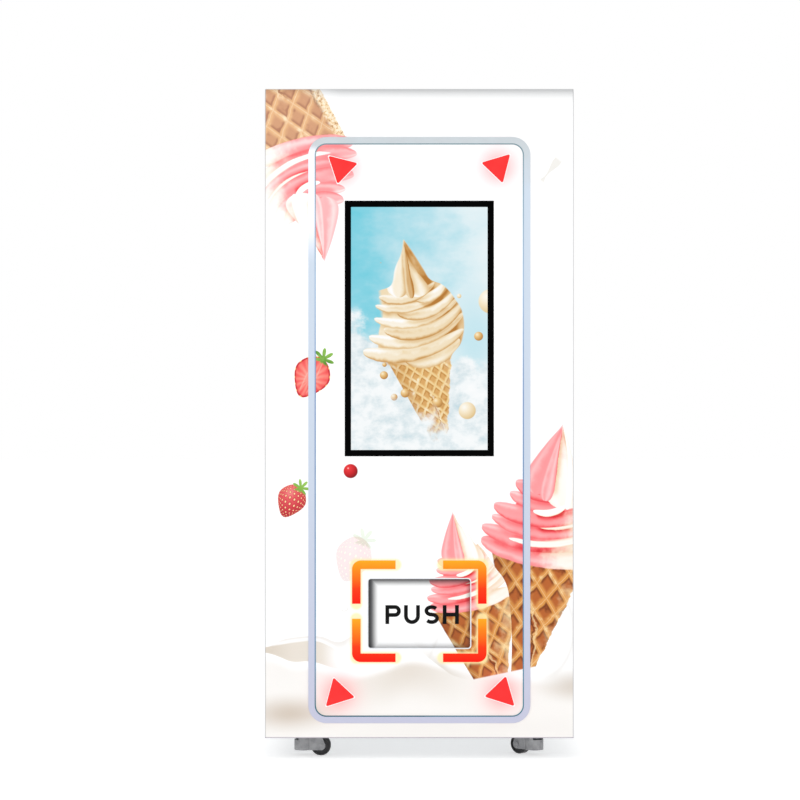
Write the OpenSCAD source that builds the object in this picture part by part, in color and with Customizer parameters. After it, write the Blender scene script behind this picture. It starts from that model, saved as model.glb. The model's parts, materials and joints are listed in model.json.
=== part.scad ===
// Self-service soft serve kiosk: a sheet-metal cabinet on four levelling castors, with a full-size
// hinged front door that carries a portrait display, a light ring and a push flap over the serving
// port. Inside: mix hopper, freezing barrel with beater, dispensing head, cup magazine, a cup
// carriage on rods, topping canisters and the refrigeration unit.
// +Z is up, the front faces -Y, and the origin is on the floor under the middle of the machine.

/* [Cabinet] */
// Overall width
cab_w = 760; // [740:5:800]
// Overall depth, from the light ring to the rear louvres
cab_d = 820; // [800:5:880]
// Overall height, from the floor to the roof
cab_h = 1660; // [1640:5:1720]
// Height of the lower edge of the panels above the floor
skirt_z = 60; // [56:1:66]
// Thickness of the sheet metal
sheet = 2; // [1.5:0.5:2.5]
// Side of the square frame tubes
tube_w = 30; // [28:1:32]

/* [Door] */
// Depth of the door's folded edges
door_ret = 46; // [44:1:48]
// Bend radius along the door's top edge
top_r = 20; // [12:1:24]
// How far the light ring stands proud of the door
proud = 2; // [1:0.5:3]
// Width of the light ring's outline
ring_w = 546; // [520:2:560]
// Height of the lower edge of the light ring
ring_z0 = 97; // [94:1:110]
// Height of the upper edge of the light ring
ring_z1 = 1539; // [1500:1:1560]
// Width of the light ring's band
band = 15.5; // [12:0.5:18]
// Outer corner radius of the light ring
ring_r = 44; // [40:1:50]

/* [Display] */
// Width of the visible picture of the portrait display
view_w = 336; // [320:1:340]
// Height of the visible picture of the portrait display
view_h = 598; // [570:1:600]
// Height of the display's centre
view_z = 1068; // [1060:1:1080]
// Width of the display's black border
border = 15.5; // [12:0.5:18]

/* [Serving port] */
// Width of the port's mouth
port_w = 251; // [230:1:255]
// Height of the port's mouth
port_h = 170; // [160:1:174]
// Height of the port's centre
port_z = 366.5; // [364:0.5:369]
// Width of the rim round the mouth
rim = 2.5; // [2:0.5:4]
// Corner radius of the mouth
port_r = 6.4; // [4:0.2:10]
// Depth from the door's face to the flap
reveal = 12; // [10:1:14]

/* [Castors] */
// Distance of each swivel axis from the middle, sideways
castor_x = 290; // [286:1:292]
// Distance of each swivel axis from the middle, front to back
castor_y = 280; // [276:1:282]
// Radius of the wheels
wheel_r = 25; // [24:0.5:25]
// Width of the wheels
wheel_w = 24; // [20:1:24]
// Distance from the swivel axis to the wheel's axle
trail = 44; // [44:1:46]

/* [Machine] */
// Height of the freezing barrel's axis
barrel_z = 680; // [676:1:684]
// Inner radius of the freezing barrel
barrel_r = 58; // [50:1:60]
// Distance from the middle to the cup magazine's axis
magazine_x = 230; // [225:1:235]
// Place of the line of spouts, front to back
spout_y = -80; // [-82:1:-78]
// Height of the cup platform's top
platform_z = 300; // [298:1:302]

/* [Hidden] */
CORNERS = ["front_left", "front_right", "rear_left", "rear_right"];

$fn = 64;

// Small overshoot that keeps cutters clear of coincident faces
eps = 0.5;
// Gap left at each welded joint of the frame, so that every tube stays a solid of its own
weld = 0.4;
// Clearance between surfaces that slide or turn on each other
slip = 0.3;
// Radial clearance of a shaft in its bore
fit = 0.05;

x_out = cab_w / 2;
x_in = x_out - sheet;
y_front = -cab_d / 2;
y_skin = y_front + proud;
y_back = cab_d / 2 - proud;
y_ret = y_skin + door_ret;
y_liner = y_ret + 12;
y_frame = y_liner + 4;
y_post = y_frame + tube_w;
y_inner = y_back - sheet;
y_rear_post = y_inner - tube_w;
frame_top = cab_h - 15;
x_frame = x_in - 1;
x_tube = x_frame - tube_w;
// Top of the castors' mounting plates
castor_h = 84;
base_top = castor_h + tube_w;
pan_top = base_top + sheet;
// Machine deck, tray deck and the carriage's rods
deck_z = 572;
deck_t = 3;
tray_z = 262;
rail_z = 275;
rail_r = 6;
rail_ys = [spout_y - 35, spout_y + 35];

// Louvre slots in the rear panel, low for the condenser and high for the warm air
louvre_w = 420;
louvre_gap = 8;
louvre_zs = concat([for (z = [140:22:440]) z], [for (z = [1450:22:1600]) z]);

bezel_w = view_w + 2 * border;
bezel_z0 = view_z - view_h / 2 - border;
bezel_z1 = view_z + view_h / 2 + border;
port_z0 = port_z - port_h / 2;
port_z1 = port_z + port_h / 2;
flap_y = y_skin + reveal;
flap_t = 3.5;
flap_x = port_w / 2 + 4.5;
pin_y = flap_y + 8;
pin_z = port_z1 + 8;
tunnel_x = flap_x + 6;

hinge_x = -(x_out - 6);
hinge_y = y_ret + 4;
hinge_r = 4.5;
hinge_pin_r = 2.5;
hinge_zs = [180, 850, 1520];

lock_y = y_skin + 23;
lock_z = 860;
cam_x = x_in - 11;

// Mix hopper: half width, front, rear, floor, rim and wall
hopper_x = 120;
hopper_y0 = -30;
hopper_y1 = 250;
hopper_z = 795;
hopper_z1 = 1000;
hopper_wall = 3;
// Axis and radius of the lid's stub pins, and the half width of the lid's arms
lid_y = 260;
lid_z = 1006;
lid_pin_r = 3;
lid_arm_x = 88;

// Freezing barrel: ends, wall, flange and the shaft through it
barrel_y0 = -40;
barrel_y1 = 230;
barrel_wall = 4;
flange_t = 6;
flange_w = 17;
shaft_r = 10;
// Mix tube from the hopper down into the barrel
mix_x = 40;
mix_y = 120;
mix_r = 6;
jacket_x = 110;

// Dispensing head: half size across, front face and the spout's tip
head_s = 80;
head_y = -106;
spout_z = 545;
plunger_r = 12;

// Gear motor: front and rear faces of the gearbox
gear_y0 = 236;
gear_y1 = 290;

// Condenser and fan: outline, depth and the fan's axis
coil_x0 = -20;
coil_x1 = 300;
coil_z0 = 130;
coil_z1 = 450;
shroud_y = 320;
coil_y = 340;
coil_y1 = 385;
fan_c = [140, 290];
fan_y = 304;
fan_r = 112;
fan_bore = 4;

// Compressor's axis
comp_x = -190;
comp_y = 190;

// Cup magazine: outer and inner radius, foot and top
mag_r = 52;
mag_bore = 48;
mag_z0 = 600;
mag_z1 = 1480;

// Carriage: half width, top, and the groove that guides the platform
carriage_s = 50;
carriage_top = 288;
groove_x = 16;
groove_z = 283;

// Topping canisters: axes, shelf, outer radius and top
canister_xs = [140, 232];
shelf_z = 636;
shelf_t = 4;
can_r = 42;
can_wall = 3;
can_z1 = 860;

// Waste tank and control box
tank_x0 = -320;
tank_x1 = -60;
tank_y0 = -300;
tank_y1 = -70;
tank_z1 = 248;
tank_wall = 4;
box_x = 252;
box_y0 = -50;
box_y1 = 200;
box_z0 = 1080;
box_z1 = 1500;

// Power inlet: centre, half size of its flange and of its socket
inlet_x = -300;
inlet_z = 210;

// Height of the levelling feet's soles when they are screwed right up
pad_z = 13.5;
foot_rod_r = 6;
axle_r = 4;
king_r = 10;
// Offset of the mounting bolts from each swivel axis
castor_bolt = 29;

// Swivel position and heading of each castor: front left, front right, rear left, rear right
castor_at = [
    [-castor_x, -castor_y, 0],
    [castor_x, -castor_y, 138],
    [-castor_x, castor_y, 75],
    [castor_x, castor_y, 215]
];

// ---------------------------------------------------------------- shared shapes

// Box between two corners
module block(from, to) {
    translate(from) cube(to - from);
}

// Rectangle with round corners, centred
module round_rect(w, h, r) {
    square([w - 2 * r, h], center = true);
    square([w, h - 2 * r], center = true);
    for (sx = [-1, 1], sz = [-1, 1])
        translate([sx * (w / 2 - r), sz * (h / 2 - r)]) circle(r = r);
}

// Upright slab with round corners, seen from the front
module front_slab(w, z0, z1, r, y0, y1) {
    translate([0, y1, (z0 + z1) / 2])
        rotate([90, 0, 0])
            linear_extrude(height = y1 - y0)
                round_rect(w, z1 - z0, r);
}

// Cylinder along X
module rod_x(x0, x1, y, z, r) {
    translate([x0, y, z]) rotate([0, 90, 0]) cylinder(h = x1 - x0, r = r);
}

// Cylinder along Y
module rod_y(x, y0, y1, z, r) {
    translate([x, y1, z]) rotate([90, 0, 0]) cylinder(h = y1 - y0, r = r);
}

// Square tube: a box that is hollow along one axis (0, 1 or 2)
module tube(from, to, along) {
    wall = [for (i = [0:2]) i == along ? -eps : sheet];
    difference() {
        block(from, to);
        block(from + wall, to - wall);
    }
}

// Draws its children on the left and mirrored on the right
module both_sides() {
    children();
    mirror([1, 0, 0]) children();
}

// ---------------------------------------------------------------- frame and panels

module frame_level(z) {
    for (y = [y_frame, y_rear_post])
        tube([-x_frame, y, z], [x_frame, y + tube_w, z + tube_w], 0);
    both_sides()
        tube([x_tube, y_post + weld, z], [x_frame, y_rear_post - weld, z + tube_w], 1);
}

module castor_pad(c) {
    sy = sign(c[1]);
    y_out = sy < 0 ? y_post + weld : y_rear_post - weld;
    y_far = c[1] - sy * 45;
    x_far = abs(c[0]) - 50;
    translate([sign(c[0]) < 0 ? -x_tube + weld : x_far, min(y_out, y_far), castor_h])
        difference() {
            cube([x_tube - weld - x_far, abs(y_out - y_far), 6]);
            for (bx = [-castor_bolt, castor_bolt], by = [-castor_bolt, castor_bolt])
                translate([
                    (sign(c[0]) < 0 ? c[0] + x_tube - weld : c[0] - x_far) + bx,
                    c[1] - min(y_out, y_far) + by, -eps])
                    cylinder(h = 6 + 2 * eps, r = 4.25);
        }
}

module welded_frame() color("#8c9094") {
    frame_level(castor_h);
    frame_level(frame_top - tube_w);
    for (sx = [-1, 1], y = [y_frame, y_rear_post]) {
        x0 = sx < 0 ? -x_frame : x_tube;
        difference() {
            tube([x0, y, base_top + weld], [x0 + tube_w, y + tube_w, frame_top - tube_w - weld], 2);
            if (sx > 0 && y < 0)
                block([cam_x - 4, y - eps, lock_z - 14], [cam_x + 7, y + sheet + eps, lock_z + 62]);
        }
    }
    for (z = [tray_z - tube_w, deck_z - tube_w])
        both_sides()
            tube([x_tube, y_post + weld, z], [x_frame, y_rear_post - weld, z + tube_w], 1);
    for (c = castor_at) castor_pad(c);
}

module base_pan() color("#b9bdc1") {
    difference() {
        block([-x_frame + 1, y_frame + 1, base_top], [x_frame - 1, y_inner - 1, base_top + sheet]);
        for (sx = [-1, 1], y = [y_frame, y_rear_post])
            translate([sx * (x_tube + tube_w / 2), y + tube_w / 2, base_top])
                cube([tube_w + 4, tube_w + 4, 4 * sheet], center = true);
    }
}

// Side sheet, folded round the rear corner
module side_sheet() {
    block([x_in, y_liner, skirt_z], [x_out, y_back, cab_h - sheet]);
    block([x_in - 10, y_inner, skirt_z], [x_in + eps, y_back, cab_h - sheet]);
}

module left_side_panel() color("#f4f4f2") mirror([1, 0, 0]) side_sheet();

module right_side_panel() color("#f4f4f2") side_sheet();

// Horizontal louvre: a slanted hood over its slot
module louvre_hood(z, w) {
    translate([-w / 2, 0, z])
        rotate([90, 0, 90])
            linear_extrude(height = w)
                polygon([[y_back - eps, 11], [y_back, 11], [y_back + proud, 2], [y_back + proud, 0],
                         [y_back - eps, 9]]);
}

module rear_panel() color("#e9e9e7") {
    x = x_in - 10.5;
    difference() {
        block([-x, y_inner, skirt_z], [x, y_back, cab_h - sheet - 0.5]);
        for (z = louvre_zs)
            block([-louvre_w / 2, y_inner - eps, z], [louvre_w / 2, y_back + eps, z + louvre_gap]);
        block([inlet_x - 25, y_inner - eps, inlet_z - 19], [inlet_x + 25, y_back + eps, inlet_z + 19]);
    }
    for (z = louvre_zs) louvre_hood(z, louvre_w);
}

module roof_panel() color("#f4f4f2") {
    block([-x_out, y_liner, cab_h - sheet], [x_out, y_back, cab_h]);
    both_sides()
        block([x_in - sheet, y_liner + 20, cab_h - 13], [x_in, y_inner - 20, cab_h - sheet + eps / 5]);
}

module tray_deck() color("#c9ccce") {
    difference() {
        block([-x_frame + 1, y_post + 1, tray_z], [x_frame - 1, -20, tray_z + sheet]);
        translate([-180, -200, tray_z - eps]) cylinder(h = sheet + 2 * eps, r = 20);
    }
}

module machine_deck() color("#c9ccce") {
    block([-x_frame + 1, -55, deck_z], [x_frame - 1, y_rear_post - 1, deck_z + deck_t]);
}

// ---------------------------------------------------------------- mix and freezing

module mix_hopper() color("#cfd3d6") {
    ear_x = lid_arm_x + 2;
    ear_top = lid_z + 6;
    wall = [hopper_wall, hopper_wall, hopper_wall];
    difference() {
        union() {
            block([-hopper_x, hopper_y0, hopper_z], [hopper_x, hopper_y1, hopper_z1]);
            both_sides() block([ear_x, hopper_y1 - 2, hopper_z1 - 15], [ear_x + 10, lid_y + 8, ear_top]);
        }
        block([-hopper_x, hopper_y0, hopper_z] + wall,
              [hopper_x, hopper_y1, hopper_z1 + hopper_wall + eps] - wall);
        both_sides()
            block([ear_x - 10, hopper_y1 - 10, hopper_z1], [ear_x + 20, hopper_y1 + 2, ear_top + eps]);
        rod_x(-ear_x - 20, ear_x + 20, lid_y, lid_z, lid_pin_r + fit);
    }
}

// The lid's rear edge stops short of the ears, so that it swings up past them
module hopper_lid() color("#dfe2e4") {
    lap = 4;
    z0 = hopper_z1 + slip;
    x = hopper_x + lap;
    y1 = hopper_y1 - 1.6;
    gap_x = lid_arm_x - 18;
    block([-x, hopper_y0 - lap, z0], [x, y1, hopper_z1 + 4]);
    block([-60, 20, hopper_z1 + 3], [60, 40, hopper_z1 + 16]);
    difference() {
        block([-lid_arm_x, y1 - 0.4, z0], [lid_arm_x, lid_y + 6, lid_z + 6]);
        block([-gap_x, hopper_y1 + 1, hopper_z1], [gap_x, lid_y + 7, lid_z + 7]);
    }
    rod_x(-lid_arm_x - 15, lid_arm_x + 15, lid_y, lid_z, lid_pin_r);
}

module freezing_barrel() color("#d5d8da") {
    y_flange = barrel_y0 - flange_t;
    difference() {
        union() {
            rod_y(0, barrel_y0, barrel_y1, barrel_z, barrel_r + barrel_wall);
            rod_y(0, y_flange, barrel_y0, barrel_z, barrel_r + flange_w);
        }
        rod_y(0, y_flange - eps, barrel_y1 - barrel_wall, barrel_z, barrel_r);
        rod_y(0, barrel_y1 - 10, barrel_y1 + eps, barrel_z, shaft_r + fit);
        translate([mix_x, mix_y, barrel_z]) cylinder(h = barrel_r + 22, r = mix_r);
    }
}

module insulation_jacket() color("#e8dfc4") {
    difference() {
        block([-jacket_x, barrel_y0, deck_z + deck_t], [jacket_x, barrel_y1, hopper_z]);
        rod_y(0, barrel_y0 - eps, barrel_y1 + eps, barrel_z, barrel_r + barrel_wall);
        translate([mix_x, mix_y, barrel_z]) cylinder(h = hopper_z - barrel_z + eps, r = mix_r);
    }
}

module dispensing_head() color("#dadde0") {
    y1 = barrel_y0 - flange_t;
    bolt = head_s - 12;
    difference() {
        union() {
            block([-head_s, head_y, barrel_z - head_s], [head_s, y1, barrel_z + head_s]);
            translate([0, spout_y, spout_z + 17]) cylinder(h = 50, r = 22);
            translate([0, spout_y, spout_z]) cylinder(h = 17.5, r1 = 15, r2 = 20);
        }
        translate([0, spout_y, spout_z + 13]) cylinder(h = 250, r = plunger_r + fit);
        translate([0, spout_y, spout_z - 5]) cylinder(h = 30, r = plunger_r - 3);
        rod_y(0, spout_y, y1 + eps, barrel_z - 40, plunger_r - 1);
        for (sx = [-1, 1], sz = [-1, 1])
            rod_y(sx * bolt, head_y - eps, y1 + eps, barrel_z + sz * bolt, 5);
    }
}

module draw_plunger() color("#3c3f43") {
    z0 = spout_z + 15;
    length = 230;
    translate([0, spout_y, z0]) cylinder(h = length, r = plunger_r);
    translate([0, spout_y, z0 + length - 10]) cylinder(h = 10, r = plunger_r + 6);
}

// Shaft, three discs and six scraper bars
module beater() color("#e4e4e0") {
    y0 = barrel_y0 + 4;
    bar_l = 250;
    disc_t = 8;
    rod_y(0, y0 - 2, gear_y0 + 26, barrel_z, shaft_r);
    for (i = [0:2]) {
        y = y0 + i * (bar_l - disc_t) / 2;
        rod_y(0, y, y + disc_t, barrel_z, barrel_r - 8);
    }
    for (a = [0:60:300])
        translate([0, 0, barrel_z]) rotate([0, a, 0]) translate([barrel_r - 10, y0, -2])
            cube([8, bar_l, 4]);
}

module gear_motor() color("#5d7181") {
    box = 62;
    difference() {
        union() {
            block([-box, gear_y0, barrel_z - box], [box, gear_y1, barrel_z + box]);
            rod_y(0, gear_y1, gear_y1 + 78, barrel_z, box - 6);
            block([-box - 8, gear_y0 + 4, deck_z + deck_t], [box + 8, gear_y1 - 4, barrel_z - box + 1]);
        }
        rod_y(0, gear_y0 - eps, gear_y0 + 30, barrel_z, shaft_r + fit);
    }
}

// ---------------------------------------------------------------- refrigeration

module compressor() color("#26282b") {
    can_z = 140;
    translate([comp_x, comp_y, 0]) {
        translate([0, 0, can_z])
            rotate_extrude()
                polygon([[0, 0], [70, 0], [84, 14], [88, 40], [88, 150], [76, 186], [44, 202], [0, 206]]);
        for (a = [45:90:315])
            rotate(a) {
                translate([40, -14, can_z - 8]) cube([62, 28, 8.5]);
                translate([94, 0, pan_top]) cylinder(h = 16.5, r = 11);
            }
    }
}

module condenser() color("#a9744f") {
    plate = 4;
    foot_w = 20;
    block([coil_x0, coil_y, coil_z0], [coil_x1, coil_y + plate, coil_z1]);
    for (z = [coil_z0 + 6:14:coil_z1 - 10])
        block([coil_x0, coil_y + 3, z], [coil_x1, coil_y1, z + 5]);
    for (x = [coil_x0, coil_x1 - plate])
        block([x, coil_y + 3, coil_z0], [x + plate, coil_y1, coil_z1]);
    for (x = [coil_x0 + foot_w, coil_x1 - 2 * foot_w])
        block([x, coil_y + 2, pan_top], [x + foot_w, coil_y1 - 10, coil_z0 + 1]);
}

module fan_shroud() color("#46494d") {
    difference() {
        block([coil_x0, shroud_y, coil_z0], [coil_x1, coil_y, coil_z1]);
        rod_y(fan_c[0], shroud_y - eps, coil_y + eps, fan_c[1], fan_r + 16);
    }
}

// Motor, its shaft and the strap that holds it to the shroud
module fan_motor() color("#6f7479") {
    z0 = fan_c[1] - 6;
    z1 = fan_c[1] + 6;
    x0 = coil_x0 + 4;
    x1 = coil_x1 - 4;
    y0 = fan_y - 68;
    rod_y(fan_c[0], y0, y0 + 52, fan_c[1], 34);
    rod_y(fan_c[0], y0 + 52 - eps, fan_y + 8, fan_c[1], fan_bore);
    block([x0, y0 + 26, z0], [x1, y0 + 32, z1]);
    for (x = [x0, x1 - 10]) block([x, y0 + 31, z0], [x + 10, shroud_y, z1]);
}

module fan_rotor() color("#303336") {
    hub_r = 26;
    root = hub_r - 4;
    translate([fan_c[0], fan_y, fan_c[1]]) {
        difference() {
            union() {
                rotate([90, 0, 0]) cylinder(h = 20, r = hub_r, center = true);
                for (a = [0:72:288])
                    rotate([0, a, 0]) rotate([28, 0, 0])
                        translate([root, -1.25, -17]) cube([fan_r - root, 2.5, 34]);
            }
            rotate([90, 0, 0]) cylinder(h = 60, r = fan_bore + fit, center = true);
        }
    }
}

// ---------------------------------------------------------------- cups and toppings

module cup_magazine() color("#e6e8ea") {
    x = -magazine_x;
    foot_h = 40;
    difference() {
        union() {
            translate([x, spout_y, mag_z0 + 30]) cylinder(h = mag_z1 - mag_z0 - 30, r = mag_r);
            block([x - 68, spout_y - 60, mag_z0], [x + 68, spout_y + 60, mag_z0 + foot_h]);
            for (z = [mag_z0 + 6, mag_z1 - 180])
                block([-x_in, spout_y - 18, z], [x - foot_h, spout_y + 18, z + 12]);
        }
        translate([x, spout_y, mag_z0 - 1]) cylinder(h = mag_z1 - mag_z0 + 20, r = mag_bore);
    }
}

module carriage_rails() color("#b8bcc0") {
    end_x = 340;
    bracket_t = 20;
    for (y = rail_ys) rod_x(-end_x, end_x, y, rail_z, rail_r);
    both_sides()
        difference() {
            block([end_x - bracket_t, spout_y - 52, tray_z + sheet], [end_x, spout_y + 52, rail_z + 17]);
            for (y = rail_ys) rod_x(end_x - bracket_t - 1, end_x + 1, y, rail_z, rail_r + fit / 2);
        }
}

module cup_carriage() color("#4c5157") {
    s = carriage_s;
    difference() {
        block([-s, spout_y - s, rail_z - 9], [s, spout_y + s, carriage_top]);
        for (y = rail_ys) rod_x(-s - 1, s + 1, y, rail_z, rail_r + fit);
        block([-groove_x, spout_y - s - 1, groove_z], [groove_x, spout_y + s + 1, carriage_top + 1]);
    }
}

// Plate that slides out towards the port, with a tongue below and a cup ring on top
module cup_platform() color("#d9dcdf") {
    x = carriage_s - 8;
    y = carriage_s - 5;
    tongue_x = groove_x - slip;
    ring_h = 8;
    block([-x, spout_y - y, carriage_top + slip], [x, spout_y + y, platform_z]);
    block([-tongue_x, spout_y - y, groove_z + slip], [tongue_x, spout_y + y, carriage_top + 1]);
    translate([0, spout_y, platform_z - eps])
        difference() {
            cylinder(h = ring_h + eps, r = 33);
            translate([0, 0, eps]) cylinder(h = ring_h + 1, r = 29.5);
        }
}

// Shelf with two canisters, their outlets and their lids
module topping_canisters() color("#e9e4da") {
    outlet_r = 20;
    outlet_z = 600;
    seat_z = shelf_z + shelf_t;
    difference() {
        block([92, spout_y - 46, shelf_z], [x_in, spout_y + 38, seat_z]);
        for (x = canister_xs) translate([x, spout_y, shelf_z - 6]) cylinder(h = 20, r = outlet_r + 2);
    }
    for (x = canister_xs)
        translate([x, spout_y, 0]) {
            difference() {
                union() {
                    translate([0, 0, seat_z + slip]) cylinder(h = can_z1 - seat_z, r = can_r);
                    translate([0, 0, outlet_z]) cylinder(h = seat_z - outlet_z + 1, r = outlet_r);
                }
                translate([0, 0, seat_z + 20]) cylinder(h = can_z1 - seat_z + 40, r = can_r - can_wall);
                translate([0, 0, outlet_z - 1]) cylinder(h = 70, r = 12);
            }
            translate([0, 0, can_z1 + 2 * slip]) cylinder(h = 8, r = can_r + 2);
        }
}

module waste_tank() color("#dfe3e6") {
    t = tank_wall;
    difference() {
        block([tank_x0, tank_y0, pan_top], [tank_x1, tank_y1, tank_z1]);
        block([tank_x0 + t, tank_y0 + t, pan_top + t], [tank_x1 - t, tank_y1 - t, tank_z1 + 1]);
    }
}

module control_box() color("#d4d6d2") {
    block([box_x, box_y0, box_z0], [x_in, box_y1, box_z1]);
}

module power_inlet() color("#1c1d1f") {
    difference() {
        union() {
            block([inlet_x - 34, y_back, inlet_z - 28], [inlet_x + 34, y_back + 1.5, inlet_z + 28]);
            block([inlet_x - 24, y_back - 36, inlet_z - 18], [inlet_x + 24, y_back + eps, inlet_z + 18]);
        }
        block([inlet_x - 20, y_back - 20, inlet_z - 14], [inlet_x + 20, y_back + 2, inlet_z + 14]);
    }
}

// ---------------------------------------------------------------- door

// Section of the door across its depth, with the bend along the top edge
module door_section(inset) {
    r = top_r - inset;
    y0 = y_skin + inset;
    z1 = cab_h - inset;
    z0 = skirt_z + inset;
    y1 = inset > 0 ? y_ret + eps : y_ret;
    translate([y0, z0]) square([y1 - y0, z1 - z0 - r]);
    translate([y0 + r, z0]) square([y1 - y0 - r, z1 - z0]);
    translate([y0 + r, z1 - r]) circle(r = r);
}

module door_bar(inset) {
    w = cab_w - 2 * inset;
    translate([-w / 2, 0, 0])
        rotate([90, 0, 90])
            linear_extrude(height = w)
                door_section(inset);
}

module door_skin() color("#f7f6f4") {
    difference() {
        door_bar(0);
        door_bar(sheet);
        front_slab(ring_w, ring_z0, ring_z1, ring_r, y_skin - eps, y_skin + sheet + eps);
        rod_x(x_in - eps, x_out + eps, lock_y, lock_z, 9);
    }
}

module door_liner() color("#eceded") {
    difference() {
        union() {
            block([hinge_x + 8, y_ret - sheet, skirt_z + sheet + 0.5],
                  [x_in - 0.5, y_ret, cab_h - sheet - 0.5]);
            block([-x_frame + 15, y_ret - eps, castor_h - 6], [x_frame - 15, y_liner, frame_top - 3]);
        }
        block([-x_frame + 17, y_ret - sheet - eps, castor_h - 4],
              [x_frame - 17, y_liner - sheet, frame_top - 5]);
        block([-tunnel_x, y_ret - 4, port_z0 - 14], [tunnel_x, y_liner + eps, port_z1 + 25]);
        block([cam_x - 4, y_ret - 4, lock_z - 14], [cam_x + 7, y_ret + eps, lock_z + 72]);
    }
}

module centre_panel() color("#f7f6f4") {
    difference() {
        front_slab(ring_w - 2 * band, ring_z0 + band, ring_z1 - band, ring_r - band,
                   y_skin, y_skin + sheet);
        block([-bezel_w / 2, y_skin - eps, bezel_z0], [bezel_w / 2, y_skin + sheet + eps, bezel_z1]);
        front_slab(port_w + 2 * rim, port_z0 - rim, port_z1 + rim, port_r + rim,
                   y_skin - eps, y_skin + sheet + eps);
    }
}

module light_ring() color("#d0d8e8") {
    difference() {
        front_slab(ring_w, ring_z0, ring_z1, ring_r, y_front, y_skin + 6);
        front_slab(ring_w - 2 * band, ring_z0 + band, ring_z1 - band, ring_r - band,
                   y_front - eps, y_skin + 6 + eps);
    }
}

module display_bezel() color("#08080a") {
    difference() {
        block([-bezel_w / 2, y_skin - 0.5, bezel_z0], [bezel_w / 2, y_skin + 12, bezel_z1]);
        block([-view_w / 2, y_skin - 1, view_z - view_h / 2],
              [view_w / 2, y_skin + 12.5, view_z + view_h / 2]);
    }
}

// Display module: the picture surface stands in the bezel, and the body lies behind it
module display_screen() color("#7fc9dc") {
    block([-view_w / 2, y_skin + 1.5, view_z - view_h / 2],
          [view_w / 2, y_skin + 12.5, view_z + view_h / 2]);
    block([-bezel_w / 2 + 6, y_skin + 12, bezel_z0 + 6], [bezel_w / 2 - 6, y_skin + 40, bezel_z1 - 6]);
}

module port_frame() color("#cfd2d6") {
    y_sleeve = flap_y - 2;
    difference() {
        union() {
            front_slab(port_w + 2 * rim, port_z0 - rim, port_z1 + rim, port_r + rim,
                       y_skin - 0.6, y_sleeve);
            block([-tunnel_x, y_skin + sheet + 1, port_z0 - 14], [tunnel_x, y_liner, port_z1 + 25]);
        }
        front_slab(port_w, port_z0, port_z1, port_r, y_skin - 1, y_sleeve + eps);
        block([-tunnel_x + 3, y_sleeve, port_z0 - 11], [tunnel_x - 3, y_liner + eps, port_z1 + 22]);
        rod_x(-tunnel_x - eps, tunnel_x + eps, pin_y, pin_z, 3);
    }
}

module push_flap() color("#fbfbfa") {
    difference() {
        union() {
            block([-flap_x, flap_y, port_z0 - 5], [flap_x, flap_y + flap_t, pin_z - 1]);
            for (x = [-flap_x, -20, flap_x - 40]) rod_x(x, x + 40, pin_y, pin_z, 6.5);
            for (x = [-flap_x, -20, flap_x - 40])
                block([x, flap_y, pin_z - 7], [x + 40, pin_y, pin_z]);
        }
        rod_x(-flap_x - 1, flap_x + 1, pin_y, pin_z, 3 + fit);
    }
}

module flap_pin() color("#9a9ea3") {
    rod_x(-tunnel_x, tunnel_x, pin_y, pin_z, 3);
}

module door_gasket() color("#2b2b2d") {
    g0 = x_frame - 27;
    g1 = x_frame - 17;
    z0 = castor_h + 4;
    z1 = frame_top - 12;
    both_sides() block([g0, y_liner, z0 + 10.5], [g1, y_frame - slip, z1 - 10.5]);
    for (z = [z0, z1 - 10]) block([-g1, y_liner, z], [g1, y_frame - slip, z + 10]);
}

module door_hinges() color("#a8acb0") {
    for (z = hinge_zs)
        difference() {
            union() {
                translate([hinge_x, hinge_y, z]) cylinder(h = 30, r = hinge_r);
                block([-x_in, y_skin + 12, z], [-x_in + 3, hinge_y, z + 30]);
            }
            translate([hinge_x, hinge_y, z - eps]) cylinder(h = 31, r = hinge_pin_r + fit);
        }
}

module frame_hinges() color("#9a9ea3") {
    for (z = hinge_zs) {
        for (dz = [-25, 30 + slip])
            difference() {
                union() {
                    translate([hinge_x, hinge_y, z + dz]) cylinder(h = 25 - slip, r = hinge_r);
                    block([hinge_x - 2, hinge_y, z + dz], [hinge_x + 6, y_frame, z + dz + 25 - slip]);
                }
                translate([hinge_x, hinge_y, z + dz - eps]) cylinder(h = 26, r = hinge_pin_r);
            }
        translate([hinge_x, hinge_y, z - 25]) cylinder(h = 80, r = hinge_pin_r);
    }
}

module lock_cylinder() color("#c4c7ca") {
    difference() {
        rod_x(cam_x + 4, x_out, lock_y, lock_z, 9);
        block([x_out - 3, lock_y - 0.6, lock_z - 3.5], [x_out + 1, lock_y + 0.6, lock_z + 3.5]);
    }
}

module lock_cam() color("#8e9296") {
    block([cam_x, lock_y - 7, lock_z - 7], [cam_x + 3, lock_y + 7, lock_z + 60]);
    rod_x(cam_x - 3, cam_x + 4 - slip, lock_y, lock_z, 6);
}

// ---------------------------------------------------------------- castors

// Places a part of castor number i at its swivel axis, turned to its heading
module at_castor(i) {
    translate([castor_at[i][0], castor_at[i][1], 0])
        rotate(castor_at[i][2])
            children();
}

// Mounting plates with the upper race and the hollow king pin
module castor_plates() color("#b0b4b8") {
    for (c = castor_at)
        translate([c[0], c[1], 0])
            difference() {
                union() {
                    translate([-36.5, -36.5, castor_h - 4]) cube([73, 73, 4]);
                    translate([0, 0, castor_h - 8]) cylinder(h = 5, r = 23);
                    translate([0, 0, 62]) cylinder(h = castor_h - 63, r = king_r);
                }
                translate([0, 0, 61]) cylinder(h = castor_h - 64, r = 7);
                for (bx = [-castor_bolt, castor_bolt], by = [-castor_bolt, castor_bolt])
                    translate([bx, by, castor_h - 5]) cylinder(h = 6, r = 4.25);
            }
}

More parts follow.
